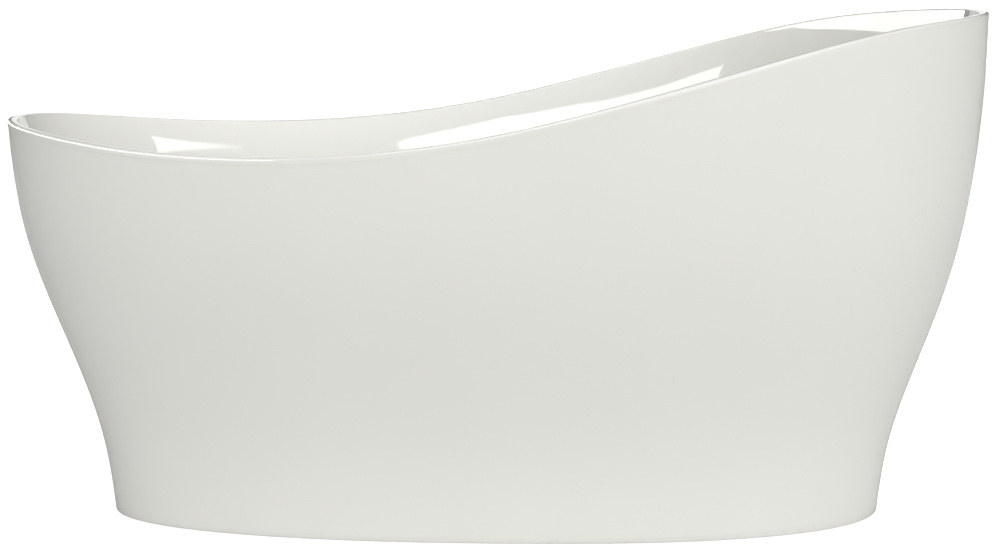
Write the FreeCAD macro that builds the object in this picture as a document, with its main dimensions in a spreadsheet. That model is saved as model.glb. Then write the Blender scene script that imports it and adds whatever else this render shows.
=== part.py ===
import FreeCAD, Part
import math
import os

import Sketcher
from FreeCAD import Placement, Rotation, Vector

# A freestanding slipper bathtub with a low foot end at -X and a high back rest at +X.
# The row frame is in millimetres: +Z up, the floor at Z 0, the origin under the middle of the tub.

doc = FreeCAD.newDocument("FreestandingBathtub")

# ---------------------------------------------------------------- driving dimensions

SIZES = {
    # overall oval
    "half_length": 800.0,
    "half_width": 395.0,
    "base_half_length": 642.0,
    "base_half_width": 248.0,
    "widest_x": 110.0,
    "profile_top": 840.0,
    # rim
    "rim_foot_height": 662.0,
    "rim_low_height": 624.0,
    "rim_head_height": 836.0,
    "rim_width": 15.0,
    "rim_roll": 4.0,
    "lip_depth": 10.0,
    # outer skirt
    "skirt_thickness": 5.0,
    "skirt_clearance": 2.0,
    "skirt_lip_width": 30.0,
    "seam_gap": 0.3,
    "bead_height": 14.0,
    # basin
    "floor_height": 150.0,
    "floor_thickness": 10.0,
    "wall_thickness": 7.0,
    "floor_foot_reach": 470.0,
    "floor_head_reach": 230.0,
    "floor_side_reach": 165.0,
    # board bedded under the basin
    "bed_thickness": 0.6,
    "bed_dab_radius": 24.0,
    "board_thickness": 15.0,
    "board_length": 780.0,
    "board_width": 290.0,
    "board_middle_x": -90.0,
    "board_corner": 60.0,
    "board_drain_cutout": 62.0,
    # steel frame
    "tube_side": 30.0,
    "tube_wall": 2.0,
    "rail_length": 920.0,
    "rail_middle_x": 5.0,
    "rail_side": 75.0,
    "foot_bar_x": -345.0,
    "middle_bar_x": 50.0,
    "head_bar_x": 440.0,
    "foot_bar_half": 172.0,
    "middle_bar_half": 216.0,
    "head_bar_half": 170.0,
    "plug_depth": 12.0,
    "plug_cap": 3.0,
    "bracket_plate": 3.0,
    "bracket_width": 30.0,
    "bracket_foot": 20.0,
    "lip_screw_radius": 2.4,
    "lip_screw_reach": 12.0,
    "board_screw_radius": 2.5,
    "screw_head_radius": 5.2,
    "screw_head_height": 3.2,
    # levelling feet
    "foot_stem_side": 140.0,
    "head_stem_side": 140.0,
    "stem_radius": 6.0,
    "stem_top": 113.0,
    "stem_ball_radius": 8.0,
    "stem_clearance": 0.05,
    "pad_radius": 26.0,
    "pad_height": 18.0,
    "sole_thickness": 3.0,
    "nut_across_corners": 21.0,
    "lower_nut_height": 10.0,
    "locknut_height": 7.0,
    "washer_radius": 12.0,
    "washer_thickness": 1.6,
    # waste
    "drain_x": -400.0,
    "recess_depth": 4.0,
    "recess_radius": 95.0,
    "recess_floor_radius": 42.0,
    "drain_hole_radius": 24.0,
    "drain_flange_radius": 35.0,
    "drain_thread_radius": 23.0,
    "drain_bore_radius": 19.0,
    "drain_seal_thickness": 1.5,
    "drain_gasket_thickness": 4.0,
    "drain_flange_thickness": 2.5,
    "drain_tail_length": 38.0,
    "drain_cross_depth": 36.0,
    "drain_cross_height": 6.0,
    "drain_cross_arm": 4.0,
    "barrel_radius": 8.5,
    "barrel_bore_radius": 7.0,
    "barrel_stud_radius": 5.0,
    "stopper_radius": 30.0,
    "stopper_post_radius": 4.0,
    "spring_radius": 5.4,
    "spring_wire_radius": 0.5,
    "spring_pitch": 2.2,
    "tee_radius": 28.0,
    "tee_bore_radius": 18.0,
    "branch_z": 94.0,
    "tee_length": 78.0,
    "tee_thread_length": 27.0,
    "tee_socket_wall": 3.9,
    "tailpiece_radius": 19.05,
    "tailpiece_seat_radius": 20.0,
    "tailpiece_bore_radius": 17.55,
    "tailpiece_shoulder": 50.0,
    "tailpiece_bottom": 6.0,
    "tailpiece_top": 76.0,
    # overflow
    "overflow_height": 525.0,
    "overflow_hole_radius": 22.0,
    "overflow_thread_radius": 21.0,
    "overflow_bore_radius": 17.0,
    "overflow_can_radius": 27.0,
    "overflow_can_depth": 26.0,
    "overflow_cover_radius": 36.0,
    "hose_radius": 16.0,
    "hose_bore_radius": 13.0,
    "barb_bore_radius": 10.0,
    "clip_band": 1.2,
    "clip_width": 10.0,
}

# How far the tub has flared out at each station up its side: 0 is the base oval, 1 is the rim oval.
FOOT_FLARE = (0.0, 0.08, 0.32, 0.63, 0.89, 0.98, 1.02, 1.05)
HEAD_FLARE = (0.0, 0.08, 0.335, 0.62, 0.82, 0.925, 0.99, 1.0)
SIDE_FLARE = (0.0, 0.08, 0.34, 0.64, 0.87, 0.97, 1.02, 1.03)

# How high the rim stands at each station after the foot end: 0 is its low point, 1 is the head end.
RIM_SWEEP = (0.045, 0.0, 0.04, 0.175, 0.42, 0.68, 0.925, 1.0)

# The inside wall from the edge of the floor to the rim: how far out it has come and how far up.
WALL_RISE = (0.0, 0.0, 0.04, 0.2, 0.4, 0.65, 0.85, 0.95, 1.0)
FOOT_OUT = (0.0, 0.18, 0.36, 0.5, 0.62, 0.76, 0.89, 0.968, 1.0)
HEAD_OUT = (0.0, 0.18, 0.38, 0.56, 0.72, 0.86, 0.95, 0.989, 1.0)
SIDE_OUT = (0.0, 0.18, 0.38, 0.54, 0.69, 0.83, 0.941, 0.9865, 1.0)

PLAN_POWER = 2.25  # of the superellipse that the ovals follow
ROLL_POWER = 3.2  # of the flatter superellipse across the rim
POINTS_ROUND = 48  # points on each closed section
WALL_SECTIONS = 25  # sections up each wall
ROLL_STEPS = 16  # steps over the rim


def make_sheet():
    sheet = doc.addObject("Spreadsheet::Sheet", "Sizes")
    for row, (alias, value) in enumerate(SIZES.items(), start=1):
        sheet.set(f"A{row}", alias)
        sheet.set(f"B{row}", str(value))
        sheet.setAlias(f"B{row}", alias)
    doc.recompute()
    return sheet


sheet = make_sheet()


def size(alias):
    return float(sheet.get(alias))


# ---------------------------------------------------------------- the tub's curves


def curve_value(stations, t):
    """Uniform cubic B-spline over the stations, with straight ends, at t from 0 to their number less 1."""
    controls = [2 * stations[0] - stations[1], *stations, 2 * stations[-1] - stations[-2]]
    i = min(max(int(math.floor(t)), 0), len(controls) - 4)
    u = t - i
    weights = (
        (1 - u) ** 3,
        3 * u**3 - 6 * u**2 + 4,
        -3 * u**3 + 3 * u**2 + 3 * u + 1,
        u**3,
    )
    return sum(w * c for w, c in zip(weights, controls[i : i + 4])) / 6


def signed_power(value, power):
    return math.copysign(abs(value) ** power, value)


def oval_point(angle, foot, head, side, widest):
    """Plan point of an egg-shaped oval that reaches foot, head and side, and is widest at x = widest."""
    c, s = math.cos(angle), math.sin(angle)
    reach = head - widest if c > 0 else foot + widest
    power = 2 / PLAN_POWER
    return widest + reach * signed_power(c, power), side * signed_power(s, power)


def outer_plan(angle, z, inset=0.0):
    """Plan point on the tub's outside at height z, or inset inwards from it."""
    t = z / size("profile_top") * (len(FOOT_FLARE) - 1)
    flare = size("half_length") - size("base_half_length")
    foot = size("base_half_length") + flare * curve_value(FOOT_FLARE, t)
    head = size("base_half_length") + flare * curve_value(HEAD_FLARE, t)
    side_flare = size("half_width") - size("base_half_width")
    side = size("base_half_width") + side_flare * curve_value(SIDE_FLARE, t)
    return oval_point(angle, foot - inset, head - inset, side - inset, size("widest_x"))


def rim_height(x):
    low = size("rim_low_height")
    rise = size("rim_head_height") - low
    stations = [size("rim_foot_height"), *(low + rise * sweep for sweep in RIM_SWEEP)]
    step = 2 * size("half_length") / (len(stations) - 1)
    return curve_value(stations, (x + size("half_length")) / step)


def rim_top(angle):
    """Height of the rim at an angle round the oval, where the outside meets the rim's sweep."""
    z = size("rim_low_height")
    for _ in range(14):
        x, _y = outer_plan(angle, z)
        z = 0.3 * z + 0.7 * rim_height(x)
    return z


def rim_plan(angle, inset):
    return outer_plan(angle, rim_top(angle), inset)


def wall_point(angle, t, outwards=0.0, floor_drop=0.0, top_drop=0.0):
    """Point on the basin's wall, t from 0 at the floor's edge to 1 at the rim, outwards from its inside."""
    place = t * (len(WALL_RISE) - 1)
    c = math.cos(angle)
    head, foot = ((1 + c) / 2) ** 2, ((1 - c) / 2) ** 2
    out = (
        head * curve_value(HEAD_OUT, place)
        + foot * curve_value(FOOT_OUT, place)
        + (1 - head - foot) * curve_value(SIDE_OUT, place)
    )
    floor_x, floor_y = oval_point(
        angle,
        size("floor_foot_reach") + outwards,
        size("floor_head_reach") + outwards,
        size("floor_side_reach") + outwards,
        0.0,
    )
    rim_x, rim_y = rim_plan(angle, size("rim_width") - outwards)
    bottom = size("floor_height") - floor_drop
    top = rim_top(angle) - top_drop
    rise = curve_value(WALL_RISE, place)
    return Vector(
        floor_x + (rim_x - floor_x) * out,
        floor_y + (rim_y - floor_y) * out,
        bottom + (top - bottom) * rise,
    )


def closed_wire(point_at):
    """Smooth closed wire through point_at(angle) all the way round."""
    angles = [2 * math.pi * i / POINTS_ROUND for i in range(POINTS_ROUND)]
    curve = Part.BSplineCurve()
    curve.interpolate(
        Points=[point_at(a) for a in angles],
        PeriodicFlag=True,
        Parameters=[float(i) for i in range(POINTS_ROUND + 1)],
    )
    return Part.Wire([curve.toShape()])


def band(*wires):
    """Smooth surface through closed wires, as faces."""
    ruled = len(wires) == 2
    return Part.makeLoft(list(wires), False, ruled).Faces


def solid_from(faces):
    shell = Part.Shell(faces)
    shell.sewShape()
    solid = Part.Solid(Part.Shell(shell.Faces))
    return solid if solid.Volume > 0 else solid.reversed()


def annulus(outer, inner):
    """Flat ring face between two closed wires in one level plane."""
    return Part.makeFace([outer, inner], "Part::FaceMakerBullseye")


def make_feature(label, shape):
    feature = doc.addObject("Part::Feature", label)
    feature.Label = label
    feature.Shape = shape
    return feature


# ---------------------------------------------------------------- sizes bound to the sheet


class Measure:
    """A length with the sheet expression behind it, so that sums of sizes stay bound to the sheet."""

    def __init__(self, value, text):
        self.value = value
        self.text = text

    def __add__(self, other):
        other = as_measure(other)
        return Measure(self.value + other.value, f"({self.text} + {other.text})")

    def __sub__(self, other):
        other = as_measure(other)
        return Measure(self.value - other.value, f"({self.text} - {other.text})")

    def __mul__(self, factor):
        return Measure(self.value * factor, f"({self.text} * {factor})")

    def __neg__(self):
        return self * -1


def as_measure(amount):
    return amount if isinstance(amount, Measure) else Measure(float(amount), str(float(amount)))


def sized(alias):
    return Measure(size(alias), f"Sizes.{alias}")


def bind(feature, name, amount):
    feature.setExpression(name, as_measure(amount).text)


def place(feature, x=0.0, y=0.0, z=0.0):
    for name, amount in (("x", x), ("y", y), ("z", z)):
        bind(feature, f"Placement.Base.{name}", amount)
    return feature


ALONG_X = Rotation(Vector(0, 0, 1), Vector(1, 0, 0))
SUBPARTS = []


def subpart(label, feature):
    """Name a finished piece and list it for export."""
    feature.Label = label
    SUBPARTS.append(feature)
    return feature


def box(length, width, height, x, y, z):
    """Box that starts at x, is centred on y and stands on z."""
    feature = doc.addObject("Part::Box", "block")
    bind(feature, "Length", length)
    bind(feature, "Width", width)
    bind(feature, "Height", height)
    return place(feature, x, as_measure(y) - as_measure(width) * 0.5, z)


def rod(radius, height, x=0.0, y=0.0, z=0.0):
    feature = doc.addObject("Part::Cylinder", "rod")
    bind(feature, "Radius", radius)
    bind(feature, "Height", height)
    return place(feature, x, y, z)


def joined(features):
    group = doc.addObject("Part::MultiFuse", "joined")
    group.Shapes = features
    return group


def grouped(features):
    group = doc.addObject("Part::Compound", "grouped")
    group.Links = features
    return group


def cut(base, tool):
    result = doc.addObject("Part::Cut", "cut")
    result.Base = base
    result.Tool = tool
    return result


def ring(outer, inner, height, x, y, z):
    """Flat ring, or a tube, that stands on z. The bore's tool runs past both faces."""
    return cut(rod(outer, height, x, y, z), rod(inner, as_measure(height) + 2.0, x, y, as_measure(z) - 1.0))


def hexagon(across_corners, height, x, y, z):
    prism = doc.addObject("Part::Prism", "hexagon")
    prism.Polygon = 6
    bind(prism, "Circumradius", as_measure(across_corners) * 0.5)
    bind(prism, "Height", height)
    return place(prism, x, y, z)


def origin_plane(body, role):
    return next(item for item in body.Origin.OriginFeatures if item.Role == role)


def outline_sketch(body, corners):
    """Closed outline on the body's XZ plane through corners of radius and height, each bound to the sheet."""
    sketch = body.newObject("Sketcher::SketchObject", "Outline")
    sketch.AttachmentSupport = (origin_plane(body, "XZ_Plane"), [""])
    sketch.MapMode = "FlatFace"
    points = [(as_measure(r), as_measure(z)) for r, z in corners]
    vectors = [Vector(r.value, z.value, 0) for r, z in points]
    for i, start in enumerate(vectors):
        sketch.addGeometry(Part.LineSegment(start, vectors[(i + 1) % len(vectors)]), False)
    for i, (radius, height) in enumerate(points):
        sketch.addConstraint(Sketcher.Constraint("Coincident", i - 1 if i else len(points) - 1, 2, i, 1))
        if radius.value == 0:
            sketch.addConstraint(Sketcher.Constraint("PointOnObject", i, 1, -2))
        else:
            index = sketch.addConstraint(Sketcher.Constraint("DistanceX", -1, 1, i, 1, radius.value))
            bind(sketch, f"Constraints[{index}]", radius)
        if height.value == 0:
            sketch.addConstraint(Sketcher.Constraint("PointOnObject", i, 1, -1))
        else:
            index = sketch.addConstraint(Sketcher.Constraint("DistanceY", -1, 1, i, 1, height.value))
            bind(sketch, f"Constraints[{index}]", height)
    return sketch


def turned(label, corners, x=0.0, y=0.0, z=0.0):
    """Body turned about its own Z axis from an outline of radius and height."""
    body = doc.addObject("PartDesign::Body", "Body_" + label)
    sketch = outline_sketch(body, corners)
    turn = body.newObject("PartDesign::Revolution", "Turn")
    turn.Profile = sketch
    turn.ReferenceAxis = (sketch, ["V_Axis"])
    turn.Angle = 360
    sketch.Visibility = False
    return place(body, x, y, z)


# ---------------------------------------------------------------- moulded shells


def skirt_shape():
    thickness = size("skirt_thickness")
    bottom = size("skirt_clearance")
    drop = size("lip_depth") + size("seam_gap")

    def level(share, inset, low):
        def at(angle):
            z = low + share * (rim_top(angle) - drop - low)
            return Vector(*outer_plan(angle, z, inset), z)

        return closed_wire(at)

    shares = [i / (WALL_SECTIONS - 1) for i in range(WALL_SECTIONS)]
    outside = [level(s, 0.0, bottom) for s in shares]
    inside = [level(s, thickness, bottom + thickness) for s in shares]
    lip_top = level(0.0, size("skirt_lip_width"), bottom + thickness)
    lip_bottom = level(0.0, size("skirt_lip_width"), bottom)
    return solid_from(
        band(*outside)
        + band(outside[-1], inside[-1])
        + band(*inside)
        + [annulus(inside[0], lip_top)]
        + band(lip_top, lip_bottom)
        + [annulus(outside[0], lip_bottom)]
    )


def basin_shape():
    wall = size("wall_thickness")
    width = size("rim_width")
    roll = size("rim_roll")
    drop = size("lip_depth")
    thick = size("floor_thickness")
    shares = [i / (WALL_SECTIONS - 1) for i in range(WALL_SECTIONS)]
    inside = [closed_wire(lambda a, t=t: wall_point(a, t, top_drop=roll)) for t in shares]
    outside = [closed_wire(lambda a, t=t: wall_point(a, t, wall, thick, drop)) for t in shares]

    def roll_wire(turn):
        """Wire on the flat rim with rounded edges, turn 0 on its inside and pi on its outside."""
        across = signed_power(math.cos(turn), 2 / ROLL_POWER)
        up = abs(math.sin(turn)) ** (2 / ROLL_POWER)

        def at(angle):
            x, y = rim_plan(angle, width * (1 + across) / 2)
            return Vector(x, y, rim_top(angle) - roll * (1 - up))

        return closed_wire(at)

    rolled = [roll_wire(math.pi * i / ROLL_STEPS) for i in range(ROLL_STEPS + 1)]
    lip_edge = closed_wire(lambda a: Vector(*rim_plan(a, 0.0), rim_top(a) - drop))
    return solid_from(
        [Part.Face(inside[0])]
        + band(*inside)
        + band(*rolled)
        + band(rolled[-1], lip_edge)
        + band(lip_edge, outside[-1])
        + band(*outside)
        + [Part.Face(outside[0])]
    )


def bead_shape():
    """Ring of adhesive in the gap between the top of the skirt and the basin's wall."""
    near = size("skirt_thickness") + 0.1
    far = size("rim_width") - size("wall_thickness") - 0.9
    high = size("lip_depth") + size("seam_gap")
    low = size("lip_depth") + size("bead_height")

    def corner(inset, drop):
        def at(angle):
            z = rim_top(angle) - drop
            return Vector(*outer_plan(angle, z, inset), z)

        return closed_wire(at)

    corners = [corner(near, high), corner(far, high), corner(far, low), corner(near, low)]
    faces = []
    for i, wire in enumerate(corners):
        faces += band(wire, corners[(i + 1) % 4])
    return solid_from(faces)


# ---------------------------------------------------------------- the overflow's own frame


def overflow_frame():
    """Placement on the inside of the foot wall: Z into the tub, square to the wall, and X up the wall."""
    low, high = 0.0, 1.0
    for _ in range(40):
        middle = (low + high) / 2
        if wall_point(math.pi, middle, top_drop=size("rim_roll")).z < size("overflow_height"):
            low = middle
        else:
            high = middle
    here = wall_point(math.pi, low, top_drop=size("rim_roll"))
    above = wall_point(math.pi, low + 0.01, top_drop=size("rim_roll"))
    up = (above - here).normalize()
    inwards = up.cross(Vector(0, 1, 0))
    if inwards.x < 0:
        inwards = -inwards
    return Placement(here, Rotation(up, inwards.cross(up), inwards, "ZXY"))


OVERFLOW = overflow_frame()


def on_overflow(feature, back=0.0):
    """Stand a feature, built along Z from 0, on the overflow's axis, back behind the inside of the wall."""
    back = as_measure(back)
    inwards = OVERFLOW.Rotation.multVec(Vector(0, 0, 1))
    feature.Placement = Placement(OVERFLOW.Base - inwards * back.value, OVERFLOW.Rotation)
    for name, start, step in (
        ("x", OVERFLOW.Base.x, inwards.x),
        ("y", OVERFLOW.Base.y, inwards.y),
        ("z", OVERFLOW.Base.z, inwards.z),
    ):
        bind(feature, f"Placement.Base.{name}", as_measure(start) - back * step)
    return feature


# ---------------------------------------------------------------- tub


def floor_top():
    """Height of the recess floor that the waste sits in."""
    return sized("floor_height") - sized("recess_depth")


def make_basin():
    moulding = make_feature("basin_moulding", basin_shape())
    drain_x = sized("drain_x")
    dish = doc.addObject("Part::Cone", "dish")
    bind(dish, "Radius1", sized("recess_floor_radius"))
    bind(dish, "Radius2", sized("recess_radius"))
    bind(dish, "Height", sized("recess_depth"))
    place(dish, drain_x, 0.0, floor_top())
    through = sized("floor_thickness") + 10.0
    drain_hole = rod(sized("drain_hole_radius"), through, drain_x, 0.0, sized("floor_height") - through + 4.0)
    wall_hole = on_overflow(rod(sized("overflow_hole_radius"), 40.0), 20.0)
    return subpart("basin_shell", cut(moulding, joined([dish, drain_hole, wall_hole])))


def sides():
    return (-1, 1)


def bars():
    """Each cross bar's middle on X and its half length."""
    return [(sized(f"{name}_bar_x"), sized(f"{name}_bar_half")) for name in ("foot", "middle", "head")]


def bar_ends():
    """Each end of each cross bar: its X, the bar's half length and the side it is on."""
    return [(x, half, side) for x, half in bars() for side in sides()]


def lip_screw_y(half, side):
    return (half + sized("lip_screw_reach")) * side


def make_skirt():
    moulding = make_feature("skirt_moulding", skirt_shape())
    bottom = sized("skirt_clearance") + 0.5
    holes = [
        rod(sized("lip_screw_radius"), sized("skirt_thickness"), x, lip_screw_y(half, side), bottom)
        for x, half, side in bar_ends()
    ]
    return subpart("outer_skirt", cut(moulding, joined(holes)))


def board_top():
    return sized("floor_height") - sized("floor_thickness") - sized("bed_thickness")


def board_bottom():
    return board_top() - sized("board_thickness")


def make_bed():
    """Dabs of bonding paste between the basin's floor and the board, clear of the waste."""
    dabs = [
        rod(sized("bed_dab_radius"), sized("bed_thickness"), x, y, board_top())
        for x in (-290.0, -170.0, -50.0, 70.0, 160.0)
        for y in (-80.0, 80.0)
    ]
    subpart("bonding_dabs", grouped(dabs))


def board_screw_places():
    return [
        (as_measure(x), sized("rail_side") * side)
        for x in (-280.0, -130.0, 110.0, 250.0)
        for side in sides()
    ]


def make_board():
    slab = box(
        sized("board_length"),
        sized("board_width"),
        sized("board_thickness"),
        sized("board_middle_x") - sized("board_length") * 0.5,
        0.0,
        board_bottom(),
    )
    rounded = doc.addObject("Part::Fillet", "rounded_board")
    rounded.Base = slab
    doc.recompute()
    upright = [
        i
        for i, edge in enumerate(slab.Shape.Edges, start=1)
        if abs(edge.Vertexes[0].Z - edge.Vertexes[1].Z) > 1.0
    ]
    corner = size("board_corner")
    rounded.Edges = [(i, corner, corner) for i in upright]
    thick = sized("board_thickness")
    tools = [rod(sized("board_drain_cutout"), thick + 2.0, sized("drain_x"), 0.0, board_bottom() - 1.0)]
    for x, y in board_screw_places():
        tools.append(rod(sized("board_screw_radius"), thick, x, y, board_bottom() - 2.0))
    return subpart("base_board", cut(rounded, joined(tools)))


def rail_bottom():
    return board_bottom() - sized("tube_side")


def bar_bottom():
    return rail_bottom() - sized("tube_side")


def make_rails():
    side, wall = sized("tube_side"), sized("tube_wall")
    length = sized("rail_length")
    start = sized("rail_middle_x") - length * 0.5
    for name, hand in (("right", -1), ("left", 1)):
        y = sized("rail_side") * hand
        tube = box(length, side, side, start, y, rail_bottom())
        bore = side - wall * 2
        tools = [box(length + 2.0, bore, bore, start - 1.0, y, rail_bottom() + wall)]
        for screw_x, screw_y in board_screw_places():
            if screw_y.value == y.value:
                hole = sized("board_screw_radius")
                tools.append(rod(hole, side + 2.0, screw_x, screw_y, rail_bottom() - 1.0))
        subpart(f"frame_rail_{name}", cut(tube, joined(tools)))


def make_rail_plugs():
    side, wall = sized("tube_side"), sized("tube_wall")
    bung = side - wall * 2 - 0.2
    plugs = []
    for end in (-1, 1):
        mouth = sized("rail_middle_x") + sized("rail_length") * 0.5 * end
        cap_x = mouth if end > 0 else mouth - sized("plug_cap")
        bung_x = mouth - sized("plug_depth") if end > 0 else mouth
        for hand in sides():
            y = sized("rail_side") * hand
            cap = box(sized("plug_cap"), side, side, cap_x, y, rail_bottom())
            tail = box(sized("plug_depth"), bung, bung, bung_x, y, rail_bottom() + wall + 0.1)
            plugs.append(joined([cap, tail]))
    subpart("rail_end_plugs", grouped(plugs))


def make_bars():
    side, wall = sized("tube_side"), sized("tube_wall")
    for name, (x, half) in zip(("foot", "middle", "head"), bars()):
        near = x - side * 0.5
        bore = side - wall * 2
        tube = box(side, half * 2, side, near, 0.0, bar_bottom())
        tools = [box(bore, half * 2 + 2.0, bore, near + wall, 0.0, bar_bottom() + wall)]
        for stem_x, stem_y in foot_places():
            if stem_x.value == x.value:
                hole = sized("stem_radius") + 0.5
                tools.append(rod(hole, side + 2.0, stem_x, stem_y, bar_bottom() - 1.0))
        subpart(f"cross_bar_{name}", cut(tube, joined(tools)))


def make_brackets():
    """Angle brackets welded to the ends of the cross bars and screwed down to the skirt's lip."""
    plate, width = sized("bracket_plate"), sized("bracket_width")
    lip_top = sized("skirt_clearance") + sized("skirt_thickness")
    height = bar_bottom() + sized("tube_side") - lip_top
    screws = []
    for number, (x, half, side) in enumerate(bar_ends(), start=1):
        y = lip_screw_y(half, side)
        near = x - width * 0.5
        upright = box(width, plate, height, near, (half + plate * 0.5) * side, lip_top)
        reach = sized("bracket_foot")
        foot = box(width, reach, plate, near, (half + reach * 0.5) * side, lip_top)
        hole = rod(sized("lip_screw_radius") + 0.3, plate + 2.0, x, y, lip_top - 1.0)
        subpart(f"skirt_bracket_{number}", cut(joined([upright, foot]), hole))
        head = rod(sized("screw_head_radius"), sized("screw_head_height"), x, y, lip_top + plate)
        shank_bottom = sized("skirt_clearance") + 0.5
        shank = rod(sized("lip_screw_radius"), lip_top + plate - shank_bottom, x, y, shank_bottom)
        screws.append(joined([head, shank]))
    subpart("bracket_screws", grouped(screws))


def make_board_screws():
    height = sized("screw_head_height")
    length = sized("tube_side") + sized("board_thickness") - 2.0
    screws = []
    for x, y in board_screw_places():
        head = rod(sized("screw_head_radius"), height, x, y, rail_bottom() - height)
        shank = rod(sized("board_screw_radius"), length, x, y, rail_bottom())
        screws.append(joined([head, shank]))
    subpart("board_screws", grouped(screws))


# ---------------------------------------------------------------- levelling feet


def foot_places():
    """Two feet under the foot bar, two under the head bar and one under the middle."""
    places = [(sized("foot_bar_x"), sized("foot_stem_side") * side) for side in sides()]
    places += [(sized("head_bar_x"), sized("head_stem_side") * side) for side in sides()]
    places.append((sized("middle_bar_x"), as_measure(0.0)))
    return places


def make_feet():
    sole = sized("sole_thickness")
    ball_bottom = sole + 5.0
    ball, stem = sized("stem_ball_radius"), sized("stem_radius")
    stem_outline = [
        (0.0, ball_bottom),
        (ball, ball_bottom),
        (ball, ball_bottom + 8.0),
        (stem, ball_bottom + 10.0),
        (stem, sized("stem_top") - 1.5),
        (stem - 1.5, sized("stem_top")),
        (0.0, sized("stem_top")),
    ]
    pad = sized("pad_radius")
    pad_outline = [
        (0.0, sole),
        (pad, sole),
        (pad, sole + 4.0),
        (pad - 2.0, sole + 6.0),
        (ball + 5.0, sized("pad_height") - 2.0),
        (ball + 4.0, sized("pad_height")),
        (ball, sized("pad_height") - 2.0),
        (ball, ball_bottom),
        (0.0, ball_bottom),
    ]
    sole_outline = [
        (0.0, 0.0),
        (pad - 3.0, 0.0),
        (pad - 2.0, 1.0),
        (pad - 2.0, sole),
        (0.0, sole),
    ]
    for number, (x, y) in enumerate(foot_places(), start=1):
        subpart(f"foot_stem_{number}", turned(f"foot_stem_{number}", stem_outline, x, y))
        subpart(f"foot_pad_{number}", turned(f"foot_pad_{number}", pad_outline, x, y))
        subpart(f"foot_sole_{number}", turned(f"foot_sole_{number}", sole_outline, x, y))


def make_foot_nuts():
    """A nut and washer above and below the bar on every stem."""
    bore = sized("stem_radius") + sized("stem_clearance")
    thick = sized("washer_thickness")
    bar_top = bar_bottom() + sized("tube_side")
    under_bar = bar_bottom() - thick
    locknut, lower_nut = sized("locknut_height"), sized("lower_nut_height")
    stack = ((locknut, bar_top + thick, bar_top), (lower_nut, under_bar - lower_nut, under_bar))
    nuts, washers = [], []
    for x, y in foot_places():
        for height, nut_z, washer_z in stack:
            nut = hexagon(sized("nut_across_corners"), height, x, y, nut_z)
            nuts.append(cut(nut, rod(bore, height + 2.0, x, y, nut_z - 1.0)))
            washers.append(ring(sized("washer_radius"), bore, thick, x, y, washer_z))
    subpart("foot_nuts", grouped(nuts))
    subpart("foot_washers", grouped(washers))


# ---------------------------------------------------------------- waste


def drain_top():
    return floor_top() + sized("drain_seal_thickness") + sized("drain_flange_thickness")


def make_drain_flange():
    """Flange and threaded tail, with a cross inside that holds the stopper's barrel."""
    x = sized("drain_x")
    top = drain_top()
    underside = top - sized("drain_flange_thickness")
    thread, bore = sized("drain_thread_radius"), sized("drain_bore_radius")
    flange = sized("drain_flange_radius")
    tail_bottom = top - sized("drain_tail_length")
    body = turned(
        "drain_flange",
        [
            (bore, tail_bottom),
            (thread, tail_bottom),
            (thread, underside),
            (flange, underside),
            (flange, top - 0.8),
            (flange - 0.8, top),
            (flange - 6.0, top),
            (flange - 10.0, top - 1.5),
            (bore, top - 1.5),
        ],
        x,
    )
    cross_z = top - sized("drain_cross_depth")
    height, arm = sized("drain_cross_height"), sized("drain_cross_arm")
    span = bore * 2 + 1.0
    hub = rod(sized("barrel_stud_radius") + arm, height, x, 0.0, cross_z)
    arms = [
        box(span, arm, height, x - span * 0.5, 0.0, cross_z),
        box(arm, span, height, x - arm * 0.5, 0.0, cross_z),
    ]
    stud_hole = rod(sized("barrel_stud_radius"), height + 2.0, x, 0.0, cross_z - 1.0)
    subpart("drain_flange", cut(joined([body, hub, *arms]), stud_hole))


def make_drain_seals():
    x = sized("drain_x")
    thread = sized("drain_thread_radius")
    subpart(
        "drain_top_seal",
        ring(sized("drain_flange_radius") - 1.0, thread, sized("drain_seal_thickness"), x, 0.0, floor_top()),
    )
    underside = sized("floor_height") - sized("floor_thickness")
    gasket = sized("drain_gasket_thickness")
    subpart(
        "drain_gasket",
        ring(sized("drain_flange_radius"), thread, gasket, x, 0.0, underside - gasket),
    )


def tee_top():
    return sized("floor_height") - sized("floor_thickness") - sized("drain_gasket_thickness")


def tee_bottom():
    return tee_top() - sized("tee_length")


def tee_socket_radius():
    return sized("tailpiece_seat_radius") + 0.1


def turn_to(feature, rotation):
    """Turn a feature about its own base point. Its bound position stays bound."""
    feature.Placement = Placement(feature.Placement.Base, rotation)
    return feature


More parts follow.
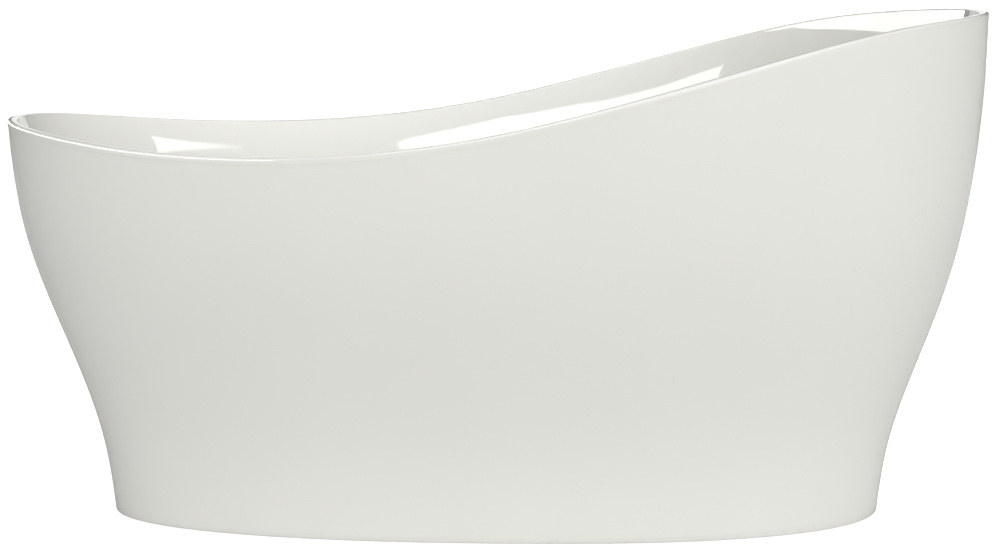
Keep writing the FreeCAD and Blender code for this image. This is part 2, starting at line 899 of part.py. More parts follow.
def make_tee():
    """Collar that the drain's tail screws into, with a side barb for the overflow and a socket below."""
    x = sized("drain_x")
    top, bottom = tee_top(), tee_bottom()
    outer, bore = sized("tee_radius"), sized("tee_bore_radius")
    thread, thread_end = sized("drain_thread_radius"), top - sized("tee_thread_length")
    socket = tee_socket_radius()
    neck = socket + sized("tee_socket_wall")
    socket_top = sized("tailpiece_top") + 0.2
    body = turned(
        "waste_tee",
        [
            (thread, top),
            (outer + 5.0, top),
            (outer + 5.0, top - 6.0),
            (outer, top - 10.0),
            (outer, bottom + 18.0),
            (neck, bottom + 14.0),
            (neck, bottom),
            (socket, bottom),
            (socket, socket_top),
            (bore, socket_top + 1.8),
            (bore, thread_end),
            (thread, thread_end),
        ],
        x,
    )
    branch_z = sized("branch_z")
    boss_reach = outer + 8.0
    barb_length = 30.0
    barb_end = x - boss_reach - barb_length + 2.0
    boss = rod(sized("hose_radius"), boss_reach - bore, x - boss_reach, 0.0, branch_z)
    barb = rod(sized("hose_bore_radius") - 0.05, barb_length, barb_end, 0.0, branch_z)
    drilling = rod(sized("barb_bore_radius"), barb_length * 2, barb_end - 1.0, 0.0, branch_z)
    for feature in (boss, barb, drilling):
        turn_to(feature, ALONG_X)
    waterway = rod(bore, barb_length, x, 0.0, branch_z - barb_length * 0.5)
    drilled = cut(joined([boss, barb]), joined([drilling, waterway]))
    bored = cut(body, drilling)
    subpart("waste_tee", joined([bored, drilled]))


def make_tailpiece():
    """Waste pipe with a wider seat in the tee's socket, its sealing washer and the slip nut under it."""
    x = sized("drain_x")
    pipe, seat = sized("tailpiece_radius"), sized("tailpiece_seat_radius")
    bore = sized("tailpiece_bore_radius")
    bottom, top = sized("tailpiece_bottom"), sized("tailpiece_top")
    shoulder = sized("tailpiece_shoulder")
    spigot = [(bore, bottom), (pipe, bottom), (pipe, shoulder)]
    seated = [(seat, shoulder + 2.0), (seat, top), (bore, top)]
    subpart("tailpiece", turned("tailpiece", spigot + seated, x))
    seal_bottom = tee_bottom() - 4.0
    thread = tee_socket_radius() + sized("tee_socket_wall")
    subpart("tailpiece_washer", ring(thread - 0.45, seat, 4.0, x, 0.0, seal_bottom))
    nut = thread + 5.0
    subpart(
        "tailpiece_nut",
        turned(
            "tailpiece_nut",
            [
                (seat + 0.2, seal_bottom - 3.0),
                (nut - 2.0, seal_bottom - 3.0),
                (nut, seal_bottom - 1.0),
                (nut, seal_bottom + 14.0),
                (thread, seal_bottom + 14.0),
                (thread, seal_bottom),
                (seat + 0.2, seal_bottom),
            ],
            x,
        ),
    )


# ---------------------------------------------------------------- pop-up stopper

def make_stopper():
    x = sized("drain_x")
    top = drain_top()
    cap = sized("stopper_radius")
    post = sized("stopper_post_radius")
    chamber_bottom = top - 28.0
    chamber_top = top - 9.0
    collar_bottom = chamber_bottom + 8.0
    subpart(
        "stopper_cap",
        turned(
            "stopper_cap",
            [
                (post, top + 1.0),
                (cap - 7.0, top + 1.0),
                (cap, top + 0.6),
                (cap, top + 2.0),
                (cap - 3.0, top + 4.0),
                (cap - 12.0, top + 5.6),
                (0.0, top + 6.2),
                (0.0, top + 3.0),
                (post, top + 3.0),
            ],
            x,
        ),
    )
    subpart(
        "stopper_seal",
        turned(
            "stopper_seal",
            [
                (post, top - 1.0),
                (cap - 9.0, top - 1.4),
                (cap - 7.0, top - 0.6),
                (cap - 7.0, top + 1.0),
                (post, top + 1.0),
            ],
            x,
        ),
    )
    subpart(
        "stopper_post",
        turned(
            "stopper_post",
            [
                (0.0, chamber_bottom + 1.0),
                (post, chamber_bottom + 1.0),
                (post, collar_bottom),
                (sized("barrel_bore_radius") - 0.3, collar_bottom),
                (sized("barrel_bore_radius") - 0.3, collar_bottom + 2.0),
                (post, collar_bottom + 2.0),
                (post, top + 3.0),
                (0.0, top + 3.0),
            ],
            x,
        ),
    )
    stud, barrel = sized("barrel_stud_radius"), sized("barrel_radius")
    bore = sized("barrel_bore_radius")
    subpart(
        "stopper_barrel",
        turned(
            "stopper_barrel",
            [
                (0.0, top - 42.0),
                (stud, top - 42.0),
                (stud, top - 30.0),
                (barrel, top - 30.0),
                (barrel, chamber_top + 2.0),
                (post + 0.06, chamber_top + 2.0),
                (post + 0.06, chamber_top),
                (bore, chamber_top),
                (bore, chamber_bottom),
                (0.0, chamber_bottom),
            ],
            x,
        ),
    )
    make_spring(x.value, chamber_bottom.value, collar_bottom.value)


def make_spring(x, bottom, top):
    """Compression spring round the post, under its collar, lofted through circles along its helix."""
    wire = size("spring_wire_radius")
    mean = size("spring_radius")
    pitch = size("spring_pitch")
    steps_per_turn = 12
    rise = pitch / steps_per_turn
    steps = int((top - bottom - 2 * wire - 0.4) / rise)
    circles = []
    for step in range(steps + 1):
        angle = 2 * math.pi * step / steps_per_turn
        outwards = Vector(math.cos(angle), math.sin(angle), 0)
        along = Vector(-math.sin(angle), math.cos(angle), pitch / (2 * math.pi * mean))
        circles.append(Part.Wire([Part.makeCircle(wire, outwards * mean + Vector(0, 0, rise * step), along)]))
    spring = make_feature("stopper_spring", Part.makeLoft(circles, True, False))
    spring.Placement = Placement(Vector(x, 0, bottom + wire + 0.1), Rotation())
    subpart("stopper_spring", spring)


# ---------------------------------------------------------------- overflow

# Where the hose turns on its way down between the foot wall and the skirt.
HOSE_POINTS = (Vector(-706, 0, 365), Vector(-662, 0, 240), Vector(-628, 0, size("branch_z")))


def make_overflow(basin):
    can, thread, bore = (sized(f"overflow_{part}_radius") for part in ("can", "thread", "bore"))
    depth = sized("overflow_can_depth")
    seal_back = sized("wall_thickness") + 4.0
    can_back = depth + seal_back
    spigot_length = can_back + 8.0
    barb = sized("hose_bore_radius") - 0.05

    case = on_overflow(rod(can, depth), can_back)
    spigot = on_overflow(rod(thread, spigot_length), can_back)
    outlet = across_overflow(rod(barb, can + 30.0))
    solid = joined([case, spigot, outlet])
    hollow = on_overflow(rod(bore, spigot_length), can_back - 3.0)
    drilling = across_overflow(rod(sized("barb_bore_radius"), can + 31.0))
    subpart("overflow_elbow", cut(solid, joined([hollow, drilling])))

    back_ring = cut(on_overflow(rod(can, 9.0), seal_back), on_overflow(rod(thread, 40.0), 30.0))
    subpart("overflow_back_seal", cut(back_ring, basin))
    wall_hole = sized("overflow_hole_radius")
    front_ring = cut(on_overflow(rod(can, 7.5), 3.0), on_overflow(rod(wall_hole, 40.0), 30.0))
    subpart("overflow_front_seal", cut(front_ring, basin))

    collar = turned("overflow_ring", [(thread, 0.0), (can, 0.0), (can, 2.5), (can - 1.0, 3.5), (thread, 3.5)])
    subpart("overflow_ring", on_overflow(collar, -4.5))

    cover = sized("overflow_cover_radius")
    plate = turned(
        "overflow_cover",
        [
            (can, 0.0),
            (can + 1.5, 0.0),
            (can + 1.5, 6.0),
            (cover - 1.5, 6.0),
            (cover - 1.5, 1.0),
            (cover, 1.0),
            (cover, 7.0),
            (cover - 1.5, 8.5),
            (0.0, 8.5),
            (0.0, 6.0),
            (can, 6.0),
        ],
    )
    on_overflow(plate, -4.7)
    slot = doc.addObject("Part::Box", "slot")
    bind(slot, "Length", cover)
    bind(slot, "Width", 30.0)
    bind(slot, "Height", 6.0)
    corner = OVERFLOW.multVec(Vector(-size("overflow_cover_radius") - 5.0, -15.0, 4.6))
    slot.Placement = Placement(corner, OVERFLOW.Rotation)
    subpart("overflow_cover", cut(plate, slot))


def outlet_start():
    """Where the elbow's outlet leaves the can's axis."""
    back = size("wall_thickness") + 4.0 + size("overflow_can_depth") * 0.5
    return OVERFLOW.multVec(Vector(0, 0, -back))


def outlet_direction():
    return (HOSE_POINTS[0] - outlet_start()).normalize()


def across_overflow(feature):
    """Point a rod down towards the hose from the middle of the overflow's can."""
    return rest_at(feature, outlet_start(), Rotation(Vector(0, 0, 1), outlet_direction()))


def rest_at(feature, base, rotation):
    feature.setExpression("Placement.Base.x", None)
    feature.setExpression("Placement.Base.y", None)
    feature.setExpression("Placement.Base.z", None)
    feature.Placement = Placement(base, rotation)
    return feature


def rounded_path(points, radius):
    """Straight runs joined by tangent arcs of one radius."""
    edges = []
    start = points[0]
    for before, corner, after in zip(points, points[1:], points[2:]):
        to_before = (before - corner).normalize()
        to_after = (after - corner).normalize()
        half_turn = (math.pi - to_before.getAngle(to_after)) / 2
        reach = radius * math.tan(half_turn)
        first = corner + to_before * reach
        last = corner + to_after * reach
        inside = (to_before + to_after).normalize()
        middle = corner + inside * (radius / math.cos(half_turn) - radius)
        edges.append(Part.LineSegment(start, first).toShape())
        edges.append(Part.Arc(first, middle, last).toShape())
        start = last
    edges.append(Part.LineSegment(start, points[-1]).toShape())
    return Part.Wire(edges)


def hose_route():
    """From the overflow's elbow down behind the foot wall to the side of the waste tee."""
    top = outlet_start() + outlet_direction() * (size("overflow_can_radius") + 5.0)
    boss_end = size("drain_x") - size("tee_radius") - 8.5
    return [top, *HOSE_POINTS, Vector(boss_end, 0, size("branch_z"))]


def make_hose():
    path = rounded_path(hose_route(), 85.0)
    start = path.Edges[0]
    direction = start.tangentAt(start.FirstParameter)
    origin = start.valueAt(start.FirstParameter)

    def sweep(radius):
        section = Part.Wire([Part.makeCircle(radius, origin, direction)])
        return path.makePipeShell([section], True, False)

    outer, inner = size("hose_radius"), size("hose_bore_radius")
    tube = sweep(outer).cut(sweep(inner))
    expected = math.pi * (outer**2 - inner**2) * path.Length
    print(f"hose {path.Length:.0f} mm long, volume {tube.Volume / expected:.4f} of section times length")
    subpart("overflow_hose", make_feature("overflow_hose", tube))


def make_hose_clips():
    """Worm-drive bands round both ends of the hose."""
    route = hose_route()
    clips = []
    for end, towards in ((route[0], route[1]), (route[-1], route[-2])):
        direction = (towards - end).normalize()
        base = end + direction * 8.0
        rotation = Rotation(Vector(0, 0, 1), direction)
        band_ring = cut(
            rest_at(rod(sized("hose_radius") + sized("clip_band"), sized("clip_width")), base, rotation),
            rest_at(rod(sized("hose_radius"), sized("clip_width") + 2.0), base - direction, rotation),
        )
        housing = doc.addObject("Part::Box", "housing")
        bind(housing, "Length", 7.0)
        bind(housing, "Width", 14.0)
        bind(housing, "Height", sized("clip_width"))
        offset = rotation.multVec(Vector(size("hose_radius") + size("clip_band") * 0.5, -7.0, 0))
        housing.Placement = Placement(base + offset, rotation)
        clips.append(joined([band_ring, housing]))
    subpart("hose_clips", grouped(clips))


# ---------------------------------------------------------------- build and export


def check_and_export():
    doc.recompute()
    for item in doc.Objects:
        if "Invalid" in item.State or "Error" in item.State:
            raise RuntimeError(f"{item.Label} failed: {item.State}")
    os.makedirs("parts", exist_ok=True)
    for piece in SUBPARTS:
        shape = piece.Shape
        if shape.isNull() or not shape.isValid() or not shape.Solids:
            raise RuntimeError(f"{piece.Label} has no valid solid")
        shape.exportStep(f"parts/{piece.Label}.step")
    print(f"{len(SUBPARTS)} sub-parts")


basin = make_basin()
make_skirt()
subpart("rim_bond_bead", make_feature("rim_bond_bead", bead_shape()))
make_bed()
make_board()
make_rails()
make_rail_plugs()
make_bars()
make_brackets()
make_board_screws()
make_feet()
make_foot_nuts()
make_drain_flange()
make_drain_seals()
make_tee()
make_tailpiece()
make_stopper()
make_overflow(basin)
make_hose()
make_hose_clips()
check_and_export()
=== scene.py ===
import math

import bmesh
import bpy
from mathutils import Matrix, Vector


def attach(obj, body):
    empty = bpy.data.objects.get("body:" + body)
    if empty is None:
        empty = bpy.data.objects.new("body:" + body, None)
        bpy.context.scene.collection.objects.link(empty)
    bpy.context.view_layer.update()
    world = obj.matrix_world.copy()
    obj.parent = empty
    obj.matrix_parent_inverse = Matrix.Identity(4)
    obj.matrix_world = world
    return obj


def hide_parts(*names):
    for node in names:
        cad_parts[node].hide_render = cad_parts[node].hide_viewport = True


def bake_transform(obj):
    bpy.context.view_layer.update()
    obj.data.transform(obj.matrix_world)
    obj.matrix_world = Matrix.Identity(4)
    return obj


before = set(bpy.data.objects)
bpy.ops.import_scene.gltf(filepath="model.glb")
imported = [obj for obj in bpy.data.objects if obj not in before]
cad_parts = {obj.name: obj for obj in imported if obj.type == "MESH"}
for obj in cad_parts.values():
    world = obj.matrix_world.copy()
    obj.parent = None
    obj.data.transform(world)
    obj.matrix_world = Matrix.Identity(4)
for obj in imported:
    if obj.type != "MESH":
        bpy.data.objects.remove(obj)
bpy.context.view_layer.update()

MM = 0.001
SCENE = bpy.context.scene

# ---- camera


def make_camera():
    """Square on to the tub's long side, a little above the rim's high end, looking slightly down."""
    look_down = 8.84  # degrees
    data = bpy.data.cameras.new("camera")
    data.sensor_width = 36.0
    data.lens = 79.94
    camera = bpy.data.objects.new("camera", data)
    SCENE.collection.objects.link(camera)
    camera.location = (0.0067, -3.666, 0.963)
    camera.rotation_euler = (math.radians(90 - look_down), 0.0, 0.0)
    SCENE.camera = camera


# ---- the tub's curves, as in the CAD model

PLAN_POWER = 2.25  # of the superellipse that the ovals follow
WIDEST_X = 110 * MM
PROFILE_TOP = 840 * MM  # height that the flares end at
HALF_LENGTH, HALF_WIDTH = 799.95 * MM, 394.87 * MM  # a hair inside the CAD model's
BASE_HALF_LENGTH, BASE_HALF_WIDTH = 642 * MM, 248 * MM
FOOT_FLARE = (0.0, 0.08, 0.32, 0.63, 0.89, 0.98, 1.02, 1.05)
HEAD_FLARE = (0.0, 0.08, 0.335, 0.62, 0.82, 0.925, 0.99, 1.0)
SIDE_FLARE = (0.0, 0.08, 0.34, 0.64, 0.87, 0.97, 1.02, 1.03)
RIM_FOOT, RIM_LOW, RIM_HEAD = 662 * MM, 624 * MM, 836 * MM
RIM_SWEEP = (0.045, 0.0, 0.04, 0.175, 0.42, 0.68, 0.925, 1.0)
RIM_WIDTH, RIM_ROLL, LIP_DEPTH = 15 * MM, 4 * MM, 10 * MM
ROLL_POWER = 3.2  # of the flatter superellipse across the rim
WALL_RISE = (0.0, 0.0, 0.04, 0.2, 0.4, 0.65, 0.85, 0.95, 1.0)
FOOT_OUT = (0.0, 0.18, 0.36, 0.5, 0.62, 0.76, 0.89, 0.968, 1.0)
HEAD_OUT = (0.0, 0.18, 0.38, 0.56, 0.72, 0.86, 0.95, 0.989, 1.0)
SIDE_OUT = (0.0, 0.18, 0.38, 0.54, 0.69, 0.83, 0.941, 0.9865, 1.0)
FLOOR_FOOT, FLOOR_HEAD, FLOOR_SIDE = 470 * MM, 230 * MM, 165 * MM
FLOOR_HEIGHT, FLOOR_THICKNESS, WALL_THICKNESS = 150 * MM, 10 * MM, 7 * MM
DRAIN_X = -400 * MM
RECESS_DEPTH, RECESS_RADIUS, RECESS_FLOOR = 4 * MM, 95 * MM, 42 * MM
SKIRT_THICKNESS, SKIRT_CLEARANCE, SKIRT_LIP = 5 * MM, 2 * MM, 30 * MM

COLUMNS = 384  # points round each ring of the moulded shells


def curve_value(stations, t):
    """Uniform cubic B-spline over the stations, straight at its ends, t counting stations from 0."""
    controls = [2 * stations[0] - stations[1], *stations, 2 * stations[-1] - stations[-2]]
    i = min(max(int(math.floor(t)), 0), len(controls) - 4)
    u = t - i
    weights = ((1 - u) ** 3, 3 * u**3 - 6 * u**2 + 4, -3 * u**3 + 3 * u**2 + 3 * u + 1, u**3)
    return sum(w * c for w, c in zip(weights, controls[i : i + 4])) / 6


def signed_power(value, power):
    return math.copysign(abs(value) ** power, value)


def oval_point(angle, foot, head, side, widest):
    c, s = math.cos(angle), math.sin(angle)
    reach = head - widest if c > 0 else foot + widest
    power = 2 / PLAN_POWER
    return widest + reach * signed_power(c, power), side * signed_power(s, power)


def outer_plan(angle, z, inset=0.0):
    """Point (x, y) on the skirt's outer wall at a height, or inset from it."""
    t = z / PROFILE_TOP * (len(FOOT_FLARE) - 1)
    flare = HALF_LENGTH - BASE_HALF_LENGTH
    foot = BASE_HALF_LENGTH + flare * curve_value(FOOT_FLARE, t)
    head = BASE_HALF_LENGTH + flare * curve_value(HEAD_FLARE, t)
    side = BASE_HALF_WIDTH + (HALF_WIDTH - BASE_HALF_WIDTH) * curve_value(SIDE_FLARE, t)
    return oval_point(angle, foot - inset, head - inset, side - inset, WIDEST_X)


def rim_height(x):
    """Height of the rim's sweep above a place along the tub."""
    stations = [RIM_FOOT, *(RIM_LOW + (RIM_HEAD - RIM_LOW) * sweep for sweep in RIM_SWEEP)]
    step = 2 * HALF_LENGTH / (len(stations) - 1)
    return curve_value(stations, (x + HALF_LENGTH) / step)


def rim_top(angle):
    """Height where the outer wall at this angle meets the rim, found step by step."""
    z = RIM_LOW
    for _ in range(14):
        z = 0.3 * z + 0.7 * rim_height(outer_plan(angle, z)[0])
    return z


ANGLES = [2 * math.pi * i / COLUMNS for i in range(COLUMNS)]
TOPS = {angle: rim_top(angle) for angle in ANGLES}


def rim_plan(angle, inset):
    return outer_plan(angle, TOPS[angle], inset)


def wall_point(angle, t, outwards=0.0, floor_drop=0.0, top_drop=0.0):
    """Point on the basin's wall, t from 0 at the floor's edge to 1 at the rim, outwards from inside."""
    place = t * (len(WALL_RISE) - 1)
    c = math.cos(angle)
    head, foot = ((1 + c) / 2) ** 2, ((1 - c) / 2) ** 2
    out = (
        head * curve_value(HEAD_OUT, place)
        + foot * curve_value(FOOT_OUT, place)
        + (1 - head - foot) * curve_value(SIDE_OUT, place)
    )
    floor_x, floor_y = oval_point(
        angle, FLOOR_FOOT + outwards, FLOOR_HEAD + outwards, FLOOR_SIDE + outwards, 0.0
    )
    rim_x, rim_y = rim_plan(angle, RIM_WIDTH - outwards)
    bottom = FLOOR_HEIGHT - floor_drop
    top = TOPS[angle] - top_drop
    return Vector(
        (
            floor_x + (rim_x - floor_x) * out,
            floor_y + (rim_y - floor_y) * out,
            bottom + (top - bottom) * curve_value(WALL_RISE, place),
        )
    )


# ---- mesh helpers


def add_mesh(name, verts, faces, sharp_degrees=40):
    mesh = bpy.data.meshes.new(name)
    mesh.from_pydata([tuple(v) for v in verts], [], faces)
    mesh.validate()
    mesh.update()
    mesh.polygons.foreach_set("use_smooth", [True] * len(mesh.polygons))
    mesh.set_sharp_from_angle(angle=math.radians(sharp_degrees))
    piece = bpy.data.objects.new(name, mesh)
    SCENE.collection.objects.link(piece)
    return piece


def ring_faces(rows, columns, closed=False):
    """Quads between neighbouring rings; closed also joins the last ring to the first."""
    faces = []
    for row in range(rows if closed else rows - 1):
        here, there = row * columns, (row + 1) % rows * columns
        for i in range(columns):
            j = (i + 1) % columns
            faces.append((here + i, here + j, there + j, there + i))
    return faces


# ---- basin and skirt


def basin_rings():
    """Rings from the middle of the basin's floor, up, over the rim and down to its underside."""
    wall_rows, floor_rows, roll_rows = 64, 14, 16
    rings = []
    edge = [wall_point(a, 0.0) for a in ANGLES]
    for row in range(1, floor_rows):
        share = row / floor_rows
        rings.append([Vector((point.x * share, point.y * share, FLOOR_HEIGHT)) for point in edge])
    for row in range(wall_rows + 1):
        rings.append([wall_point(a, row / wall_rows, top_drop=RIM_ROLL) for a in ANGLES])
    for row in range(1, roll_rows + 1):
        turn = math.pi * row / roll_rows
        across = signed_power(math.cos(turn), 2 / ROLL_POWER)
        up = abs(math.sin(turn)) ** (2 / ROLL_POWER)
        inset = RIM_WIDTH * (1 + across) / 2
        drop = RIM_ROLL * (1 - up)
        rings.append([Vector((*rim_plan(a, inset), TOPS[a] - drop)) for a in ANGLES])
    rings.append([Vector((*rim_plan(a, 0.0), TOPS[a] - LIP_DEPTH)) for a in ANGLES])
    for row in range(wall_rows, -1, -1):
        rings.append(
            [wall_point(a, row / wall_rows, WALL_THICKNESS, FLOOR_THICKNESS, LIP_DEPTH) for a in ANGLES]
        )
    underside = FLOOR_HEIGHT - FLOOR_THICKNESS
    edge = rings[-1]
    for row in range(floor_rows - 1, 0, -1):
        share = row / floor_rows
        rings.append([Vector((point.x * share, point.y * share, underside)) for point in edge])
    return rings


def sink_recess(point):
    """Lower the basin's floor into the shallow dish round the drain."""
    if abs(point.z - FLOOR_HEIGHT) > 1 * MM:
        return point
    distance = math.hypot(point.x - DRAIN_X, point.y)
    share = min(max((RECESS_RADIUS - distance) / (RECESS_RADIUS - RECESS_FLOOR), 0.0), 1.0)
    return Vector((point.x, point.y, point.z - RECESS_DEPTH * share * share * (3 - 2 * share)))


def make_basin():
    rings = basin_rings()
    verts = [sink_recess(point) for ring in rings for point in ring]
    faces = ring_faces(len(rings), COLUMNS)
    top_centre, bottom_centre = len(verts), len(verts) + 1
    verts.append(Vector((0.0, 0.0, FLOOR_HEIGHT)))
    verts.append(Vector((0.0, 0.0, FLOOR_HEIGHT - FLOOR_THICKNESS)))
    last = (len(rings) - 1) * COLUMNS
    for i in range(COLUMNS):
        j = (i + 1) % COLUMNS
        faces.append((top_centre, j, i))
        faces.append((bottom_centre, last + i, last + j))
    faces = [tuple(reversed(face)) for face in faces]
    return add_mesh("basin", verts, faces, 50)


def make_skirt():
    """Outer wall with a rounded foot edge, its inside and the lip turned in along the floor."""
    rows, round_rows, radius = 72, 6, 3 * MM
    bottom = SKIRT_CLEARANCE

    def wall_ring(share, inset, low):
        ring = []
        for a in ANGLES:
            z = low + share * (TOPS[a] - LIP_DEPTH - low)
            ring.append(Vector((*outer_plan(a, z, inset), z)))
        return ring

    def flat_ring(inset, z):
        return [Vector((*outer_plan(a, bottom, inset), z)) for a in ANGLES]

    rings = [wall_ring(1 - row / rows, 0.0, bottom + radius) for row in range(rows + 1)]
    for row in range(1, round_rows + 1):
        turn = math.pi / 2 * row / round_rows
        rings.append(flat_ring(radius * (1 - math.cos(turn)), bottom + radius * (1 - math.sin(turn))))
    rings.append(flat_ring(SKIRT_LIP, bottom))
    rings.append(flat_ring(SKIRT_LIP, bottom + SKIRT_THICKNESS))
    inside_low = bottom + SKIRT_THICKNESS
    rings += [wall_ring(row / rows, SKIRT_THICKNESS, inside_low) for row in range(rows + 1)]
    verts = [point for ring in rings for point in ring]
    faces = [tuple(reversed(face)) for face in ring_faces(len(rings), COLUMNS, closed=True)]
    return add_mesh("skirt", verts, faces, 50)


def apply_modifiers(piece):
    graph = bpy.context.evaluated_depsgraph_get()
    mesh = bpy.data.meshes.new_from_object(piece.evaluated_get(graph))
    piece.modifiers.clear()
    piece.data = mesh


def finish_piece(piece, slot, *nodes, body="tub"):
    """Give a piece its material, body and slot, and the CAD nodes that it replaces."""
    piece.data.materials.clear()
    piece.data.materials.append(MATERIALS[slot])
    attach(piece, body)
    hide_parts(*nodes)
    return piece


# ---- materials


class Nodes:
    """Short way to build one material's node tree."""

    def __init__(self, name):
        self.material = bpy.data.materials.new(name)
        self.material.use_nodes = True
        self.tree = self.material.node_tree
        self.shader = self.tree.nodes["Principled BSDF"]
        coordinates = self.tree.nodes.new("ShaderNodeTexCoord")
        self.where = coordinates.outputs["Object"]

    def set(self, **sockets):
        for name, value in sockets.items():
            self.shader.inputs[name.replace("_", " ")].default_value = value
        return self

    def link(self, source, node, socket):
        self.tree.links.new(source, node.inputs[socket])

    def scaled(self, stretch):
        """Object coordinates stretched along each axis, for grain and brushing."""
        mapping = self.tree.nodes.new("ShaderNodeMapping")
        mapping.inputs["Scale"].default_value = stretch
        self.link(self.where, mapping, "Vector")
        return mapping.outputs["Vector"]

    def noise(self, scale, detail=2.0, roughness=0.5, where=None):
        noise = self.tree.nodes.new("ShaderNodeTexNoise")
        noise.inputs["Scale"].default_value = scale
        noise.inputs["Detail"].default_value = detail
        noise.inputs["Roughness"].default_value = roughness
        self.link(where or self.where, noise, "Vector")
        return noise.outputs["Fac"]

    def bands(self, scale):
        """Level layers: at a scale of 1 they would be 0.31 m apart."""
        wave = self.tree.nodes.new("ShaderNodeTexWave")
        wave.bands_direction = "Z"
        wave.inputs["Scale"].default_value = scale
        wave.inputs["Distortion"].default_value = 0.6
        self.link(self.where, wave, "Vector")
        return wave.outputs["Fac"]

    def mixed(self, share, first, second):
        first_colour, second_colour, colour_out = 6, 7, 2  # sockets of the node's colour mode
        mix = self.tree.nodes.new("ShaderNodeMix")
        mix.data_type = "RGBA"
        mix.inputs["Factor"].default_value = share
        self.link(first, mix, first_colour)
        self.link(second, mix, second_colour)
        return mix.outputs[colour_out]

    def ramp(self, source, *stops):
        ramp = self.tree.nodes.new("ShaderNodeValToRGB")
        elements = ramp.color_ramp.elements
        while len(elements) < len(stops):
            elements.new(0.5)
        for element, (position, colour) in zip(elements, stops):
            element.position = position
            element.color = (*colour, 1.0)
        self.link(source, ramp, "Fac")
        return ramp.outputs["Color"]

    def spread(self, source, low, high):
        """Source from 0 to 1 as a value from low to high."""
        spread = self.tree.nodes.new("ShaderNodeMapRange")
        spread.inputs["To Min"].default_value = low
        spread.inputs["To Max"].default_value = high
        self.link(source, spread, "Value")
        return spread.outputs["Result"]

    def colour(self, source):
        self.link(source, self.shader, "Base Color")
        return self

    def roughness(self, source):
        self.link(source, self.shader, "Roughness")
        return self

    def bump(self, source, depth, strength=1.0):
        bump = self.tree.nodes.new("ShaderNodeBump")
        bump.inputs["Distance"].default_value = depth
        bump.inputs["Strength"].default_value = strength
        self.link(source, bump, "Height")
        self.link(bump.outputs["Normal"], self.shader, "Normal")
        return self


def acrylic():
    """Glossy white sanitary acrylic: a faint wave in the gloss and the slightest change of tone."""
    m = Nodes("acrylic_gloss")
    m.set(IOR=1.49, Coat_Weight=0.0, Specular_IOR_Level=0.5)
    m.colour(m.ramp(m.noise(3.0, 2.0), (0.3, (0.815, 0.812, 0.782)), (0.7, (0.830, 0.828, 0.800))))
    m.roughness(m.spread(m.noise(60.0, 3.0), 0.02, 0.035))
    m.bump(m.noise(14.0, 1.0), 0.00006)
    return m.material


def plywood():
    """Birch ply: plies seen on the edges, long grain on the faces."""
    m = Nodes("birch_ply")
    m.set(IOR=1.45)
    grain = m.noise(1.0, 4.0, 0.6, m.scaled((5.0, 120.0, 120.0)))
    plies = m.ramp(m.bands(85.0), (0.35, (0.30, 0.19, 0.10)), (0.6, (0.50, 0.36, 0.21)))
    faces = m.ramp(grain, (0.3, (0.42, 0.29, 0.16)), (0.7, (0.58, 0.44, 0.28)))
    m.colour(m.mixed(0.5, plies, faces))
    m.roughness(m.spread(grain, 0.55, 0.75))
    m.bump(grain, 0.0003)
    return m.material


def metal(name, dull, bright, low, high, scale, stretch=(1.0, 1.0, 1.0), depth=0.00002):
    """Metal whose tone and gloss wander at the scale of its surface's grain."""
    m = Nodes(name)
    m.set(Metallic=1.0)
    grain = m.noise(scale, 3.0, 0.6, m.scaled(stretch))
    m.colour(m.ramp(grain, (0.35, dull), (0.65, bright)))
    m.roughness(m.spread(m.noise(scale * 3, 2.0), low, high))
    m.bump(grain, depth)
    return m.material


def moulded(name, dark, light, low, high, scale, depth):
    """Moulded plastic, rubber or set paste with a fine surface texture."""
    m = Nodes(name)
    m.set(IOR=1.48)
    grain = m.noise(scale, 3.0)
    m.colour(m.ramp(m.noise(scale / 8, 2.0), (0.35, dark), (0.65, light)))
    m.roughness(m.spread(grain, low, high))
    m.bump(grain, depth)
    return m.material


MATERIALS = {
    "acrylic": acrylic(),
    "plywood": plywood(),
    "galvanised_steel": metal(
        "galvanised", (0.50, 0.52, 0.54), (0.66, 0.68, 0.70), 0.35, 0.55, 90.0, depth=0.00005
    ),
    "zinc_fixings": metal("bright_zinc", (0.62, 0.63, 0.64), (0.74, 0.75, 0.74), 0.22, 0.38, 300.0),
    "chrome": metal(
        "polished_chrome", (0.78, 0.79, 0.80), (0.84, 0.85, 0.86), 0.03, 0.07, 40.0, depth=0.000002
    ),
    "brass": metal(
        "turned_brass", (0.62, 0.42, 0.17), (0.76, 0.56, 0.28), 0.2, 0.35, 60.0, (1.0, 1.0, 20.0)
    ),
    "black_plastic": moulded("black_moulded", (0.016,) * 3, (0.03,) * 3, 0.42, 0.6, 900.0, 0.00005),
    "rubber": moulded("black_rubber", (0.014,) * 3, (0.024,) * 3, 0.72, 0.9, 600.0, 0.00008),
    "pipe_plastic": moulded(
        "white_pipe_plastic", (0.68, 0.69, 0.69), (0.76, 0.77, 0.76), 0.28, 0.42, 500.0, 0.00002
    ),
    "hose": moulded("grey_hose", (0.36, 0.37, 0.38), (0.44, 0.45, 0.46), 0.42, 0.58, 300.0, 0.00004),
    "paste": moulded("setting_paste", (0.62, 0.58, 0.47), (0.76, 0.73, 0.62), 0.6, 0.8, 160.0, 0.0004),
}


# ---- small parts, drawn in millimetres

